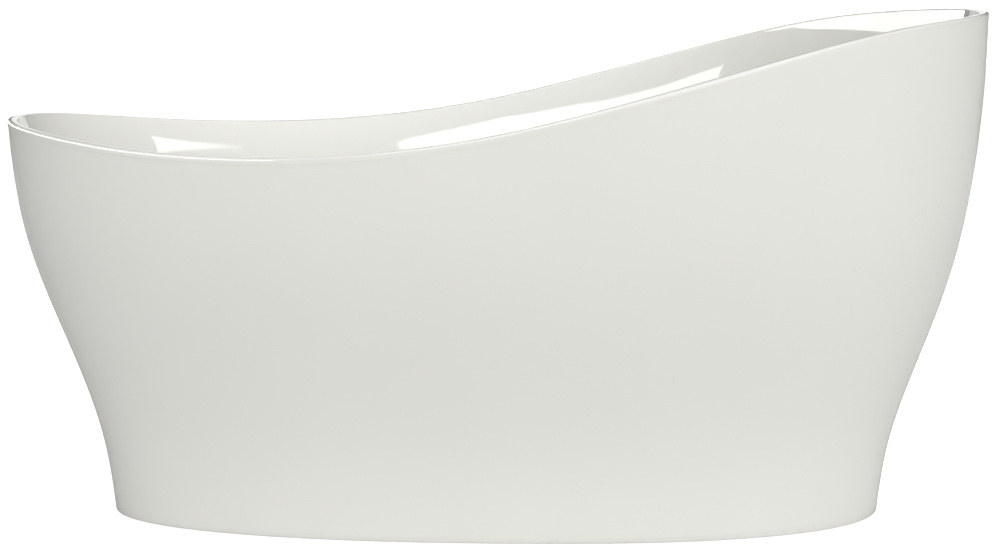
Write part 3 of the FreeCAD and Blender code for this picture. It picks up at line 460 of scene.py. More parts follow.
DRAIN = (DRAIN_X / MM, 0.0)
FOOT_BAR_X, MIDDLE_BAR_X, HEAD_BAR_X = -345.0, 50.0, 440.0
BARS = (("foot", FOOT_BAR_X, 172.0), ("middle", MIDDLE_BAR_X, 216.0), ("head", HEAD_BAR_X, 170.0))
FOOT_PLACES = [(x, y) for x in (FOOT_BAR_X, HEAD_BAR_X) for y in (-140.0, 140.0)] + [(MIDDLE_BAR_X, 0.0)]
RAIL_LENGTH, RAIL_MIDDLE_X, RAIL_SIDE = 920.0, 5.0, 75.0
TUBE_SIDE, TUBE_WALL, TUBE_CORNER = 30.0, 2.0, 3.0
TUBE_BORE = TUBE_SIDE - 2 * TUBE_WALL
BOARD_LENGTH, BOARD_WIDTH, BOARD_CORNER, BOARD_MIDDLE_X = 780.0, 290.0, 60.0, -90.0
BOARD_LOW, BOARD_HIGH, BOARD_CUTOUT = 124.4, 139.4, 62.0
BOARD_SCREW_RADIUS = 2.5
BOARD_SCREWS = [(x, y) for x in (-280.0, -130.0, 110.0, 250.0) for y in (-RAIL_SIDE, RAIL_SIDE)]
LIP_SCREW_RADIUS, LIP_SCREW_REACH = 2.4, 12.0
BRACKET_LOW, BRACKET_PLATE = 7.0, 3.0
RAIL_LOW = BOARD_LOW - TUBE_SIDE
BAR_LOW = RAIL_LOW - TUBE_SIDE
STEM_RADIUS, STEM_TOP, STEM_PITCH, STEM_THREAD_DEPTH = 6.0, 113.0, 1.75, 0.9
WASHER_THICK, WASHER_RADIUS = 1.6, 12.0
DRAIN_TOP = FLOOR_HEIGHT / MM
HOSE_RADIUS, HOSE_BORE, HOSE_BEND, BRANCH_Z = 16.0, 13.0, 85.0, 94.0


class Shape:
    """Closed meshes in millimetres, gathered into one piece."""

    def __init__(self):
        self.verts = []
        self.faces = []

    def add(self, mesh, matrix=Matrix.Identity(4)):
        verts, faces = mesh
        start = len(self.verts)
        self.verts += [matrix @ Vector(vert) for vert in verts]
        self.faces += [tuple(start + i for i in face) for face in faces]
        return self

    def piece(self, name, sharp_degrees=35):
        piece = add_mesh(name, [vert * MM for vert in self.verts], self.faces, sharp_degrees)
        mesh = bmesh.new()
        mesh.from_mesh(piece.data)
        bmesh.ops.recalc_face_normals(mesh, faces=mesh.faces)
        mesh.to_mesh(piece.data)
        mesh.free()
        return piece


def at(x, y=0.0, z=0.0):
    """Upright frame at a place."""
    return Matrix.Translation((x, y, z))


def softened(outline, radius, closed=True, steps=3):
    """Outline with each corner eased by a small curve. An open outline keeps its two ends."""
    points = [Vector(point) for point in outline]
    soft = []
    for i, corner in enumerate(points):
        if not closed and i in (0, len(points) - 1):
            soft.append(corner)
            continue
        before, after = points[i - 1] - corner, points[(i + 1) % len(points)] - corner
        reach = min(radius, before.length * 0.45, after.length * 0.45)
        start, end = corner + before.normalized() * reach, corner + after.normalized() * reach
        for step in range(steps + 1):
            u = step / steps
            soft.append(start * (1 - u) ** 2 + corner * 2 * u * (1 - u) + end * u * u)
    return soft


def lathe(outline, sides=64, closed=True, radius_at=None):
    """Shape turned about Z from (radius, height) points: a ring, or else with both ends on the axis."""
    rows = outline if closed else outline[1:-1]
    verts = []
    for radius, z in rows:
        for i in range(sides):
            angle = 2 * math.pi * i / sides
            r = radius_at(radius, z, angle) if radius_at else radius
            verts.append((r * math.cos(angle), r * math.sin(angle), z))
    faces = ring_faces(len(rows), sides, closed)
    if not closed:
        low, high, last = len(verts), len(verts) + 1, len(verts) - sides
        verts += [(0.0, 0.0, outline[0][1]), (0.0, 0.0, outline[-1][1])]
        for i in range(sides):
            j = (i + 1) % sides
            faces += [(low, j, i), (high, last + i, last + j)]
    return verts, faces


def prism(outline, low, high, ease=0.0):
    """Upright prism over an (x, y) outline round the origin, its top and bottom edges eased."""
    reach = max(abs(value) for point in outline for value in point)
    eased = 1 - ease / reach
    rows = ((low, eased), (low + ease, 1.0), (high - ease, 1.0), (high, eased))
    verts = [(x * share, y * share, z) for z, share in rows for x, y in outline]
    count = len(outline)
    faces = ring_faces(4, count)
    faces += [tuple(reversed(range(count))), tuple(range(3 * count, 4 * count))]
    return verts, faces


def round_rectangle(width, depth, radius, steps=5):
    points = []
    for quarter, (sx, sy) in enumerate(((1, 1), (-1, 1), (-1, -1), (1, -1))):
        for step in range(steps + 1):
            angle = math.pi / 2 * (quarter + step / steps)
            x = sx * (width / 2 - radius) + radius * math.cos(angle)
            points.append((x, sy * (depth / 2 - radius) + radius * math.sin(angle)))
    return points


def polygon(sides, radius):
    return [
        (radius * math.cos(2 * math.pi * i / sides), radius * math.sin(2 * math.pi * i / sides))
        for i in range(sides)
    ]


def swept(path, sides, radius_at, bore=0.0):
    """Round bar along a path, or a tube if it has a bore; radius_at gives the radius at a path index."""
    frames = []
    for i, here in enumerate(path):
        along = (path[min(i + 1, len(path) - 1)] - path[max(i - 1, 0)]).normalized()
        across = along.cross(Vector((0, 0, 1))).normalized()
        frames.append((here, across, across.cross(along)))

    def ring(i, radius):
        here, across, up = frames[i]
        angles = [2 * math.pi * k / sides for k in range(sides)]
        return [here + (across * math.cos(a) + up * math.sin(a)) * radius for a in angles]

    rings = [ring(i, radius_at(i)) for i in range(len(path))]
    if bore:
        rings += [ring(i, bore) for i in reversed(range(len(path)))]
    faces = ring_faces(len(rings), sides, closed=bool(bore))
    if not bore:
        last = (len(rings) - 1) * sides
        faces += [tuple(range(sides)), tuple(last + i for i in reversed(range(sides)))]
    return [vert for ring_verts in rings for vert in ring_verts], faces


def combine(piece, tool, operation, sharp_degrees=35):
    """Join a tool to a piece, or cut it away, and drop the tool."""
    modifier = piece.modifiers.new("combine", "BOOLEAN")
    modifier.operation = operation
    modifier.object = tool
    modifier.solver = "EXACT"
    apply_modifiers(piece)
    bpy.data.objects.remove(tool)
    piece.data.set_sharp_from_angle(angle=math.radians(sharp_degrees))
    return piece


def bars_through(places, radius, low, high, sides=32):
    """Upright round bars, as a tool for holes."""
    tool = Shape()
    for x, y in places:
        tool.add(prism(polygon(sides, radius), low, high), at(x, y))
    return tool.piece("hole_tool")


# ---- the overflow's own frame

OVERFLOW_HEIGHT = 525 * MM


def overflow_frame():
    """On the foot wall's inside, in millimetres: Z into the tub, square to the wall, X up the wall."""
    foot = ANGLES[COLUMNS // 2]
    low, high = 0.0, 1.0
    for _ in range(40):
        middle = (low + high) / 2
        if wall_point(foot, middle, top_drop=RIM_ROLL).z < OVERFLOW_HEIGHT:
            low = middle
        else:
            high = middle
    here = wall_point(foot, low, top_drop=RIM_ROLL)
    up = (wall_point(foot, low + 0.01, top_drop=RIM_ROLL) - here).normalized()
    inwards = up.cross(Vector((0, 1, 0)))
    if inwards.x < 0:
        inwards = -inwards
    turn = Matrix((up, inwards.cross(up), inwards)).transposed()
    return Matrix.Translation(here / MM) @ turn.to_4x4()


OVERFLOW = overflow_frame()


# ---- steel frame and board


def make_board():
    outline = round_rectangle(BOARD_LENGTH, BOARD_WIDTH, BOARD_CORNER, 12)
    board = Shape().add(prism(outline, BOARD_LOW, BOARD_HIGH, 0.6), at(BOARD_MIDDLE_X)).piece("board")
    combine(board, bars_through([DRAIN], BOARD_CUTOUT, BOARD_LOW - 1, BOARD_HIGH + 1, 96), "DIFFERENCE")
    holes = bars_through(BOARD_SCREWS, BOARD_SCREW_RADIUS, BOARD_LOW - 1, BOARD_HIGH - 2, 16)
    combine(board, holes, "DIFFERENCE")
    finish_piece(board, "plywood", "base_board")


def square_tube(length):
    """Tube along Z, centred, with rounded corners."""
    outer = round_rectangle(TUBE_SIDE, TUBE_SIDE, TUBE_CORNER)
    inner = round_rectangle(TUBE_BORE, TUBE_BORE, 1.2)
    rings = ((outer, -length / 2), (outer, length / 2), (inner, length / 2), (inner, -length / 2))
    verts = [(x, y, z) for ring, z in rings for x, y in ring]
    return verts, ring_faces(4, len(outer), closed=True)


def make_frame():
    along_x, along_y = Matrix.Rotation(math.pi / 2, 4, "Y"), Matrix.Rotation(math.pi / 2, 4, "X")
    middle = RAIL_LOW + TUBE_SIDE / 2
    for name, y in (("right", -RAIL_SIDE), ("left", RAIL_SIDE)):
        place = at(RAIL_MIDDLE_X, y, middle) @ along_x
        rail = Shape().add(square_tube(RAIL_LENGTH), place).piece("rail_" + name)
        places = [spot for spot in BOARD_SCREWS if spot[1] == y]
        holes = bars_through(places, BOARD_SCREW_RADIUS, RAIL_LOW - 1, BOARD_LOW + 1, 16)
        combine(rail, holes, "DIFFERENCE")
        finish_piece(rail, "galvanised_steel", "frame_rail_" + name)
    for name, x, half in BARS:
        place = at(x, 0.0, middle - TUBE_SIDE) @ along_y
        bar = Shape().add(square_tube(2 * half), place).piece("bar_" + name)
        places = [spot for spot in FOOT_PLACES if spot[0] == x]
        combine(bar, bars_through(places, STEM_RADIUS + 0.5, BAR_LOW - 1, RAIL_LOW + 1), "DIFFERENCE")
        finish_piece(bar, "galvanised_steel", "cross_bar_" + name)


def make_rail_plugs():
    """Pushed-in end caps, each a cap with eased edges and a smaller bung."""
    bung = TUBE_BORE - 0.2
    plugs = Shape()
    for hand in (-1, 1):
        for end in (-1, 1):
            place = at(RAIL_MIDDLE_X + RAIL_LENGTH / 2 * end, RAIL_SIDE * hand, RAIL_LOW + TUBE_SIDE / 2)
            outwards = place @ Matrix.Rotation(math.pi / 2 * end, 4, "Y")
            stack = ((-12.0, 0.0, bung, 1.1, 0.8), (0.0, 3.0, TUBE_SIDE, TUBE_CORNER, 0.9))
            for low, high, side, radius, ease in stack:
                plugs.add(prism(round_rectangle(side, side, radius), low, high, ease), outwards)
    finish_piece(plugs.piece("rail_plugs"), "black_plastic", "rail_end_plugs")


def screw_mesh(shank_radius, length):
    """Pan-head screw, head down below Z 0, with a cross recess and a threaded shank above."""
    head = [(0.0, -3.2), (2.6, -3.2), (4.4, -2.7), (5.2, -1.2), (5.2, 0.0), (shank_radius, 0.0)]
    pitch, thread_depth = 1.4, 0.45
    rows = int((length - 2.0) / (pitch / 2))
    shank = [(shank_radius - thread_depth * (row % 2), 0.6 + row * pitch / 2) for row in range(rows)]
    outline = head + shank + [(0.6, length), (0.0, length)]
    screw = Shape().add(lathe([Vector(point) for point in outline], 24, closed=False)).piece("screw")
    for across, along in ((5.2, 1.1), (1.1, 5.2)):
        slot = Shape().add(prism(round_rectangle(across, along, 0.3, 2), -3.6, -1.9 - 0.01 * across))
        combine(screw, slot.piece("slot_tool"), "DIFFERENCE")
    mesh = screw.data
    verts = [vert.co / MM for vert in mesh.vertices]
    faces = [tuple(polygon.vertices) for polygon in mesh.polygons]
    bpy.data.objects.remove(screw)
    return verts, faces


def make_screws():
    board_screw = screw_mesh(BOARD_SCREW_RADIUS, TUBE_SIDE + BOARD_HIGH - BOARD_LOW - 2.0)
    screws = Shape()
    for x, y in BOARD_SCREWS:
        screws.add(board_screw, at(x, y, RAIL_LOW))
    finish_piece(screws.piece("screws_board"), "zinc_fixings", "board_screws")
    lip_screw = screw_mesh(LIP_SCREW_RADIUS, 7.5)
    upside_down = Matrix.Rotation(math.pi, 4, "X")
    screws = Shape()
    for _name, x, half in BARS:
        for side in (-1, 1):
            place = at(x, (half + LIP_SCREW_REACH) * side, BRACKET_LOW + BRACKET_PLATE)
            screws.add(lip_screw, place @ upside_down)
    finish_piece(screws.piece("screws_bracket"), "zinc_fixings", "bracket_screws")


def make_dabs():
    """Squeezed-out dabs of paste, none quite round."""
    dabs, side, radius = Shape(), 80.0, 24.0
    low, high = BOARD_HIGH, (FLOOR_HEIGHT - FLOOR_THICKNESS) / MM
    edge = radius - 0.4
    outline = [(0.0, low), (edge, low), (radius, low + 0.3), (edge, high), (0.0, high)]
    for number, x in enumerate((-290.0, -170.0, -50.0, 70.0, 160.0)):
        for hand in (-1, 1):
            phase = 1.7 * number + hand

            def wobble(radius, z, angle, phase=phase):
                return radius * (0.97 + 0.03 * math.sin(3 * angle + phase) * math.sin(5 * angle - phase))

            dabs.add(lathe(outline, 48, False, wobble), at(x, side * hand))
    finish_piece(dabs.piece("paste_dabs"), "paste", "bonding_dabs")


def make_bead():
    """Adhesive under the rim, between the skirt and the basin's wall."""
    near, far, high, low = 5.1, 7.1, 10.3, 24.0
    section = softened([(near, high), (far, high), (far, low), (near, low)], 0.8, steps=2)
    rings = []
    for inset, drop in section:
        ring = []
        for angle in ANGLES:
            z = TOPS[angle] - drop * MM
            ring.append(Vector((*outer_plan(angle, z, inset * MM), z)))
        rings.append(ring)
    faces = ring_faces(len(rings), COLUMNS, closed=True)
    bead = add_mesh("rim_bead", [point for ring in rings for point in ring], faces)
    finish_piece(bead, "paste", "rim_bond_bead")


# ---- levelling feet


def thread_radius(radius, z, angle):
    """Screw thread on the stem, running out above the ball and below the tip."""
    if radius < STEM_RADIUS - 0.1 or not 20.0 < z < STEM_TOP - 2.0:
        return radius
    turn = (z / STEM_PITCH - angle / (2 * math.pi)) % 1.0
    return radius - STEM_THREAD_DEPTH * abs(2 * turn - 1)


def make_feet():
    ball, stem, top = 8.0, STEM_RADIUS, STEM_TOP
    threaded_length = 90.0
    step = STEM_PITCH / 4
    rows = [(stem, 20.2 + step * row) for row in range(int(threaded_length / step))]
    base = [(0.0, 8.0), (ball - 0.6, 8.0), (ball, 8.8), (ball, 15.2), (ball - 0.6, 16.0), (stem, 18.0)]
    tip = [(stem, top - 1.6), (stem - 1.5, top), (2.2, top), (1.9, top - 2.5), (0.0, top - 2.5)]
    stem_mesh = lathe(base + rows + tip, 24, False, thread_radius)
    pad_outline = softened(
        [(0, 3), (26, 3), (26, 7), (24, 9), (13, 16), (12, 18), (8, 16), (8, 8), (0, 8)], 0.8, closed=False
    )
    grooves = [(r, 0.0 if k % 2 else 0.5) for k, r in enumerate(range(3, 23, 2))]
    sole_outline = [(0.0, 0.0), *grooves[1:], (23.0, 0.0), (24.0, 1.0), (24.0, 3.0), (0.0, 3.0)]

    def ribbed(radius, z, angle):
        """Moulding ribs round the pad's edge."""
        return radius - (0.5 if radius > 25 and math.cos(36 * angle) < -0.3 else 0.0)

    for number, (x, y) in enumerate(FOOT_PLACES, start=1):
        body = f"foot_{number}"
        stem_piece = Shape().add(stem_mesh, at(x, y)).piece(f"stem_{number}", 50)
        finish_piece(stem_piece, "zinc_fixings", f"foot_stem_{number}", body=body)
        pad = Shape().add(lathe(pad_outline, 144, False, ribbed), at(x, y)).piece(f"pad_{number}")
        finish_piece(pad, "black_plastic", f"foot_pad_{number}", body=body)
        sole = Shape().add(lathe(sole_outline, 64, False), at(x, y)).piece(f"sole_{number}")
        finish_piece(sole, "rubber", f"foot_sole_{number}", body=body)


def hexagon_nut(low, high):
    """Hexagon nut with its corners turned down to a cone at both faces."""
    corner, bore, rows = 10.5, 6.05, 3

    def hexagonal(radius, z, angle):
        if radius < 7.0:
            return radius
        flat = corner * math.cos(math.pi / 6) / math.cos((angle % (math.pi / 3)) - math.pi / 6)
        return min(flat, radius)

    edge = [(corner - 1.3, low), (corner, low + 0.8)]
    edge += [(corner, low + 0.8 + (high - low - 1.6) * row / rows) for row in range(1, rows)]
    edge += [(corner, high - 0.8), (corner - 1.3, high)]
    outline = [(bore, low + 0.5), (bore + 0.5, low), *edge, (bore + 0.5, high), (bore, high - 0.5)]
    return lathe(outline, 72, True, hexagonal)


def make_foot_nuts():
    nuts, washers = Shape(), Shape()
    locknut, lower_nut, bore = 7.0, 10.0, STEM_RADIUS + 0.05
    for x, y in FOOT_PLACES:
        nuts.add(hexagon_nut(RAIL_LOW + WASHER_THICK, RAIL_LOW + WASHER_THICK + locknut), at(x, y))
        nuts.add(hexagon_nut(BAR_LOW - WASHER_THICK - lower_nut, BAR_LOW - WASHER_THICK), at(x, y))
        for low in (RAIL_LOW, BAR_LOW - WASHER_THICK):
            high = low + WASHER_THICK
            section = [(bore, low), (WASHER_RADIUS, low), (WASHER_RADIUS, high), (bore, high)]
            washers.add(lathe(softened(section, 0.3, steps=2), 48), at(x, y))
    finish_piece(nuts.piece("nuts"), "zinc_fixings", "foot_nuts")
    finish_piece(washers.piece("washers"), "zinc_fixings", "foot_washers")


# ---- waste and stopper


def turned_piece(name, outline, ease, closed=True, sides=96, radius_at=None):
    """Piece turned about the waste's axis, its edges eased."""
    mesh = lathe(softened(outline, ease, closed), sides, closed, radius_at)
    return Shape().add(mesh, at(*DRAIN)).piece(name)


def make_drain():
    top = DRAIN_TOP
    tail = [(19, top - 38), (23, top - 38), (23, top - 2.5)]
    rim = [(35, top - 2.5), (35, top - 0.8), (34.2, top), (29, top), (25, top - 1.5), (19, top - 1.5)]
    flange = turned_piece("flange", tail + rim, 0.5, sides=128)
    low, high = top - 36, top - 30
    for size in ((39.0, 4.0), (4.0, 39.0)):
        arm = Shape().add(prism(round_rectangle(*size, 0.4, 2), low, high, 0.5), at(*DRAIN)).piece("arm")
        combine(flange, arm, "UNION")
    hub = Shape().add(prism(polygon(48, 9.0), low, high, 0.5), at(*DRAIN)).piece("hub")
    combine(flange, hub, "UNION")
    combine(flange, bars_through([DRAIN], 5.0, low - 1, high + 1), "DIFFERENCE")
    finish_piece(flange, "chrome", "drain_flange")

    seal = turned_piece("top_seal", [(23, 146), (34, 146), (34, 147.5), (23, 147.5)], 0.5)
    finish_piece(seal, "rubber", "drain_top_seal")
    seal = turned_piece("gasket", [(23, 136), (35, 136), (35, 140), (23, 140)], 1.0)
    finish_piece(seal, "rubber", "drain_gasket")


def make_tee():
    def ribbed(radius, z, angle):
        """Grip ribs round the collar."""
        return radius - (0.8 if radius > 32 and z > 129 and math.cos(24 * angle) < 0 else 0.0)

    inside = [(23, 109), (18, 109), (18, 78), (20.1, 76.2), (20.1, 58)]
    outside = [(24, 58), (24, 72), (28, 76), (28, 126), (33, 130), (33, 136), (23, 136)]
    tee = turned_piece("tee", inside + outside, 0.7, sides=144, radius_at=ribbed)
    along = at(DRAIN[0], 0.0, BRANCH_Z) @ Matrix.Rotation(-math.pi / 2, 4, "Y")
    boss = softened([(0, 20), (16, 20), (16, 36), (0, 36)], 0.6, closed=False)
    combine(tee, Shape().add(lathe(boss, 64, False), along).piece("boss"), "UNION")
    combine(tee, Shape().add(barb_mesh(34.0, 64.0), along).piece("barb"), "UNION")
    drilling = [(0.0, 10.0), (10.0, 10.0), (10.0, 66.0), (0.0, 66.0)]
    combine(tee, Shape().add(lathe(drilling, 64, False), along).piece("drilling"), "DIFFERENCE")
    finish_piece(tee, "pipe_plastic", "waste_tee")


def make_tailpiece():
    bore = 17.55
    outline = [(bore, 6), (19.05, 6), (19.05, 50), (20, 52), (20, 76), (bore, 76)]
    pipe = turned_piece("waste_pipe", outline, 0.4)
    finish_piece(pipe, "pipe_plastic", "tailpiece")
    washer = turned_piece("pipe_seal", [(20, 54), (23.5, 54), (23.5, 58), (20, 58)], 0.6)
    finish_piece(washer, "rubber", "tailpiece_washer")

    def grips(radius, z, angle):
        """Finger grips round the slip nut."""
        return radius - (1.2 * max(0.0, math.cos(12 * angle)) if radius > 28 else 0.0)

    outline = [(20.2, 51), (27, 51), (29, 53), (29, 68), (24, 68), (24, 54), (20.2, 54)]
    nut = turned_piece("slip_nut", outline, 0.6, sides=192, radius_at=grips)
    finish_piece(nut, "pipe_plastic", "tailpiece_nut")


def make_stopper():
    top = DRAIN_TOP
    crown, edge = top + 6.2, 30
    dome = [(r, crown - 4.2 * (r / edge) ** 2.4) for r in (29.6, 28.5, *range(27, 0, -2))]
    under = [(0.0, top + 3), (4, top + 3), (4, top + 1), (23, top + 1), (29.5, top + 0.6)]
    outline = under + [(edge, top + 1.0), (edge, top + 1.6), *dome, (0.0, crown)]
    cap = Shape().add(lathe([Vector(point) for point in outline], 128, False), at(*DRAIN)).piece("cap", 50)
    finish_piece(cap, "chrome", "stopper_cap", body="stopper")

    outline = [(4, top - 1), (21, top - 1.4), (23, top - 0.6), (23, top + 1), (4, top + 1)]
    finish_piece(turned_piece("cap_seal", outline, 0.4), "rubber", "stopper_seal", body="stopper")
    outline = [(0, 123), (4, 123), (4, 130), (6.7, 130), (6.7, 132), (4, 132), (4, top + 3), (0, top + 3)]
    post = turned_piece("post", outline, 0.3, closed=False, sides=48)
    finish_piece(post, "brass", "stopper_post", body="stopper")

    outside = [(0, 108), (5, 108), (5, 120), (8.5, 120), (8.5, 143), (4.06, 143)]
    inside = [(4.06, 141), (7, 141), (7, 122), (0, 122)]
    barrel = turned_piece("barrel", outside + inside, 0.3, closed=False, sides=64)
    finish_piece(barrel, "brass", "stopper_barrel")
    make_spring()


def make_spring():
    """Coil round the post, pressed between the bottom of the barrel and the post's collar."""
    mean, wire, pitch, low, high = 5.4, 0.5, 2.2, 122.6, 129.0
    steps_round = 32
    steps = int((high - low) / pitch * steps_round)
    path = []
    for step in range(steps + 1):
        angle = 2 * math.pi * step / steps_round
        z = low + (high - low) * step / steps
        path.append(Vector((DRAIN[0] + mean * math.cos(angle), mean * math.sin(angle), z)))
    spring = Shape().add(swept(path, 12, lambda i: wire)).piece("spring")
    spring.data.materials.append(MATERIALS["zinc_fixings"])
    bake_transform(spring)
    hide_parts("stopper_spring")


# ---- overflow and hose

HOSE_POINTS = (Vector((-706, 0, 365)), Vector((-662, 0, 240)), Vector((-628, 0, BRANCH_Z)))
OUTLET_START = OVERFLOW @ Vector((0, 0, -24))
OUTLET_WAY = (HOSE_POINTS[0] - OUTLET_START).normalized()


def facing(place, direction):
    """Frame at a place with its Z along a direction."""
    turn = Vector((0, 0, 1)).rotation_difference(direction)
    return Matrix.Translation(place) @ turn.to_matrix().to_4x4()


def barb_mesh(start, end):
    """Hose tail: shallow saw-tooth rings up to its tapered end."""
    crest, step = HOSE_BORE - 0.05, 1.6
    root = crest - 0.5
    count = int((end - start - 5) / step)
    rings = [(root if k % 2 else crest, start + 3.0 + step * k) for k in range(count)]
    outline = [(0.0, start), (root, start), *rings, (root, end - 1.5), (11.6, end), (0.0, end)]
    return lathe(outline, 64, closed=False)


def make_overflow_elbow():
    spigot_radius, pitch = 21.0, 2.0

    def threaded(radius, z, angle):
        if radius != spigot_radius:
            return radius
        turn = (z / pitch - angle / (2 * math.pi)) % 1.0
        return radius - 0.5 * abs(2 * turn - 1)

    can = [(0, -37), (26.4, -37), (27, -36.4), (27, -11.6), (26.4, -11)]
    spigot = [(spigot_radius, -10.5 + pitch / 4 * row) for row in range(37)]
    shell = [*can, *spigot, (17, 8), (17, -34), (0, -34)]
    elbow = Shape().add(lathe(shell, 96, False, threaded), OVERFLOW).piece("elbow")
    along = facing(OUTLET_START, OUTLET_WAY)
    combine(elbow, Shape().add(barb_mesh(15.0, 57.0), along).piece("barb"), "UNION")
    bore_outline = [(0, 0), (10, 0), (10, 58), (0, 58)]
    combine(elbow, Shape().add(lathe(bore_outline, 64, False), along).piece("drilling"), "DIFFERENCE")
    finish_piece(elbow, "pipe_plastic", "overflow_elbow")


def make_overflow_ring():
    """Threaded collar with four notches for its key."""
    ring = softened([(21, 4.5), (27, 4.5), (27, 7.0), (26, 8.0), (21, 8.0)], 0.4)
    collar = Shape().add(lathe(ring, 96), OVERFLOW).piece("collar")
    for quarter in range(4):
        turn = OVERFLOW @ Matrix.Rotation(math.pi / 2 * (quarter + 0.5), 4, "Z") @ at(24.0)
        notch = Shape().add(prism(round_rectangle(8.0, 4.0, 0.5, 2), 6.2, 9.0), turn).piece("notch")
        combine(collar, notch, "DIFFERENCE")
    finish_piece(collar, "chrome", "overflow_ring")


def make_overflow_cover():
    """Round cover over the ring, with an inner rim, open at its lower edge for the water."""
    inside = [(0, 10.7), (27, 10.7), (27, 4.7), (28.5, 4.7), (28.5, 10.7), (34.5, 10.7), (34.5, 5.7)]
    outline = softened(inside + [(36, 5.7), (36, 11.7), (34.5, 13.2), (0, 13.2)], 0.5, closed=False)
    cover = Shape().add(lathe(outline, 128, False), OVERFLOW).piece("cover")
    slot = Shape().add(prism(round_rectangle(36.0, 30.0, 2.0), 4.5, 10.6), OVERFLOW @ at(-23.0))
    combine(cover, slot.piece("slot_tool"), "DIFFERENCE")
    finish_piece(cover, "chrome", "overflow_cover")


def finish_overflow_seals():
    """The two seals keep their CAD shape and get their rubber here."""
    for name in ("overflow_back_seal", "overflow_front_seal"):
        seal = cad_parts[name]
        seal.data.materials.clear()
        seal.data.materials.append(MATERIALS["rubber"])


def hose_path(points, radius, spacing):
    """Evenly stepped points along straight runs joined by tangent arcs."""
    path = []

    def run(start, end):
        steps = max(1, round((end - start).length / spacing))
        path.extend(start.lerp(end, step / steps) for step in range(steps))

    start = points[0]
    for before, corner, after in zip(points, points[1:], points[2:]):
        to_before, to_after = (before - corner).normalized(), (after - corner).normalized()
        half_turn = (math.pi - to_before.angle(to_after)) / 2
        reach = radius * math.tan(half_turn)
        centre = corner + (to_before + to_after).normalized() * (radius / math.cos(half_turn))
        first, last = corner + to_before * reach, corner + to_after * reach
        run(start, first)
        steps = max(1, round(2 * half_turn * radius / spacing))
        ways = [(first - centre).slerp(last - centre, step / steps) for step in range(steps)]
        path.extend(centre + way.normalized() * radius for way in ways)
        start = last
    run(start, points[-1])
    return path + [points[-1]]


def make_hose():
    """Ribbed hose with plain cuffs over the two barbs, and a worm clip round each cuff."""
    spacing, cuff_steps = 1.25, 20
    ends = OUTLET_START + OUTLET_WAY * 32, Vector((DRAIN[0] - 36.5, 0, BRANCH_Z))
    path = hose_path([ends[0], *HOSE_POINTS, ends[1]], HOSE_BEND, spacing)

    def ribbed(i):
        inside_cuffs = cuff_steps < i < len(path) - cuff_steps
        return HOSE_RADIUS - (0.9 if inside_cuffs and i % 4 < 2 else 0.0)

    hose = Shape().add(swept(path, 40, ribbed, HOSE_BORE)).piece("hose", 30)
    finish_piece(hose, "hose", "overflow_hose")

    band = [(HOSE_RADIUS, 0), (17.1, 0), (16.8, 1.0), (16.8, 9.0), (17.1, 10), (HOSE_RADIUS, 10)]
    band = softened(band, 0.2, steps=2)
    clips = Shape()
    for end, towards in ((ends[0], HOSE_POINTS[0]), (ends[1], HOSE_POINTS[-1])):
        way = (towards - end).normalized()
        place = facing(end + way * 8.0, way)
        clips.add(lathe(band, 64), place)
        across = place @ at(20.1, 0.0, 5.0) @ Matrix.Rotation(math.pi / 2, 4, "X")
        clips.add(prism(round_rectangle(7.0, 10.0, 1.5), -4.5, 4.5, 0.4), across)
        clips.add(prism(polygon(6, 3.4), 4.5, 7.0, 0.5), across)
        clips.add(prism(polygon(24, 2.6), -6.6, -4.5, 0.3), across)
    finish_piece(clips.piece("worm_clips"), "zinc_fixings", "hose_clips")


def make_brackets():
    """Folded angle brackets with an eased inside bend, holed for their screws."""
    plate, half_width = BRACKET_PLATE, 15.0
    height, reach = BAR_LOW + TUBE_SIDE - BRACKET_LOW, 20.0
    profile = [(0, 0), (reach, 0), (reach, plate), (plate, plate), (plate, height), (0, height)]
    outline = [(point.x, point.y) for point in softened(profile, 1.4)]
    number = 0
    for _name, x, half in BARS:
        for side in (-1, 1):
            number += 1
            y = half * side
            frame_end = Matrix(((0, 0, side, x), (side, 0, 0, y), (0, 1, 0, BRACKET_LOW), (0, 0, 0, 1)))
            strip = Shape().add(prism(outline, -half_width, half_width), frame_end)
            bracket = strip.piece(f"bracket_{number}")
            place = (x, (half + LIP_SCREW_REACH) * side)
            hole = bars_through([place], LIP_SCREW_RADIUS + 0.3, BRACKET_LOW - 1, BRACKET_LOW + plate + 1)
            combine(bracket, hole, "DIFFERENCE")
            finish_piece(bracket, "galvanised_steel", f"skirt_bracket_{number}")


# ---- light and floor

# Sky: power of its falloff from straight above, and its strength there.
SKY_POWER, SKY_TOP = 2.0, 0.96
# Glow level with the tub's front: direction, power of its falloff, and strength.
GLOW_SIDE, GLOW_POWER, GLOW_STRENGTH = (0.259, -0.966, 0.0), 4.5, 3.75
BACKDROP_GLOW = 1.1
WHITE = (1.0, 1.0, 1.0, 1.0)
FLOOR_ALBEDO, FLOOR_GLOW = 0.94, 0.95  # of the floor that the camera sees
BOUNCE_ALBEDO = 0.54  # of the floor that lights the tub


def add_softbox(name, place, width, height, tilt=0.0, turn=0.0, radiance=8.0):
    """Rectangular softbox facing the tub, seen only in its gloss: the sky does the even lighting."""
    data = bpy.data.lights.new(name, "AREA")
    data.shape = "RECTANGLE"
    data.size = width
    data.size_y = height
    data.energy = radiance * math.pi * width * height
    light = bpy.data.objects.new(name, data)
    SCENE.collection.objects.link(light)
    light.visible_diffuse = False
    light.visible_camera = False
    light.location = place
    upright = Matrix.Rotation(math.radians(turn), 3, "Z") @ Matrix.Rotation(math.radians(90), 3, "X")
    light.rotation_euler = (upright @ Matrix.Rotation(math.radians(tilt), 3, "Z")).to_euler()
    return light


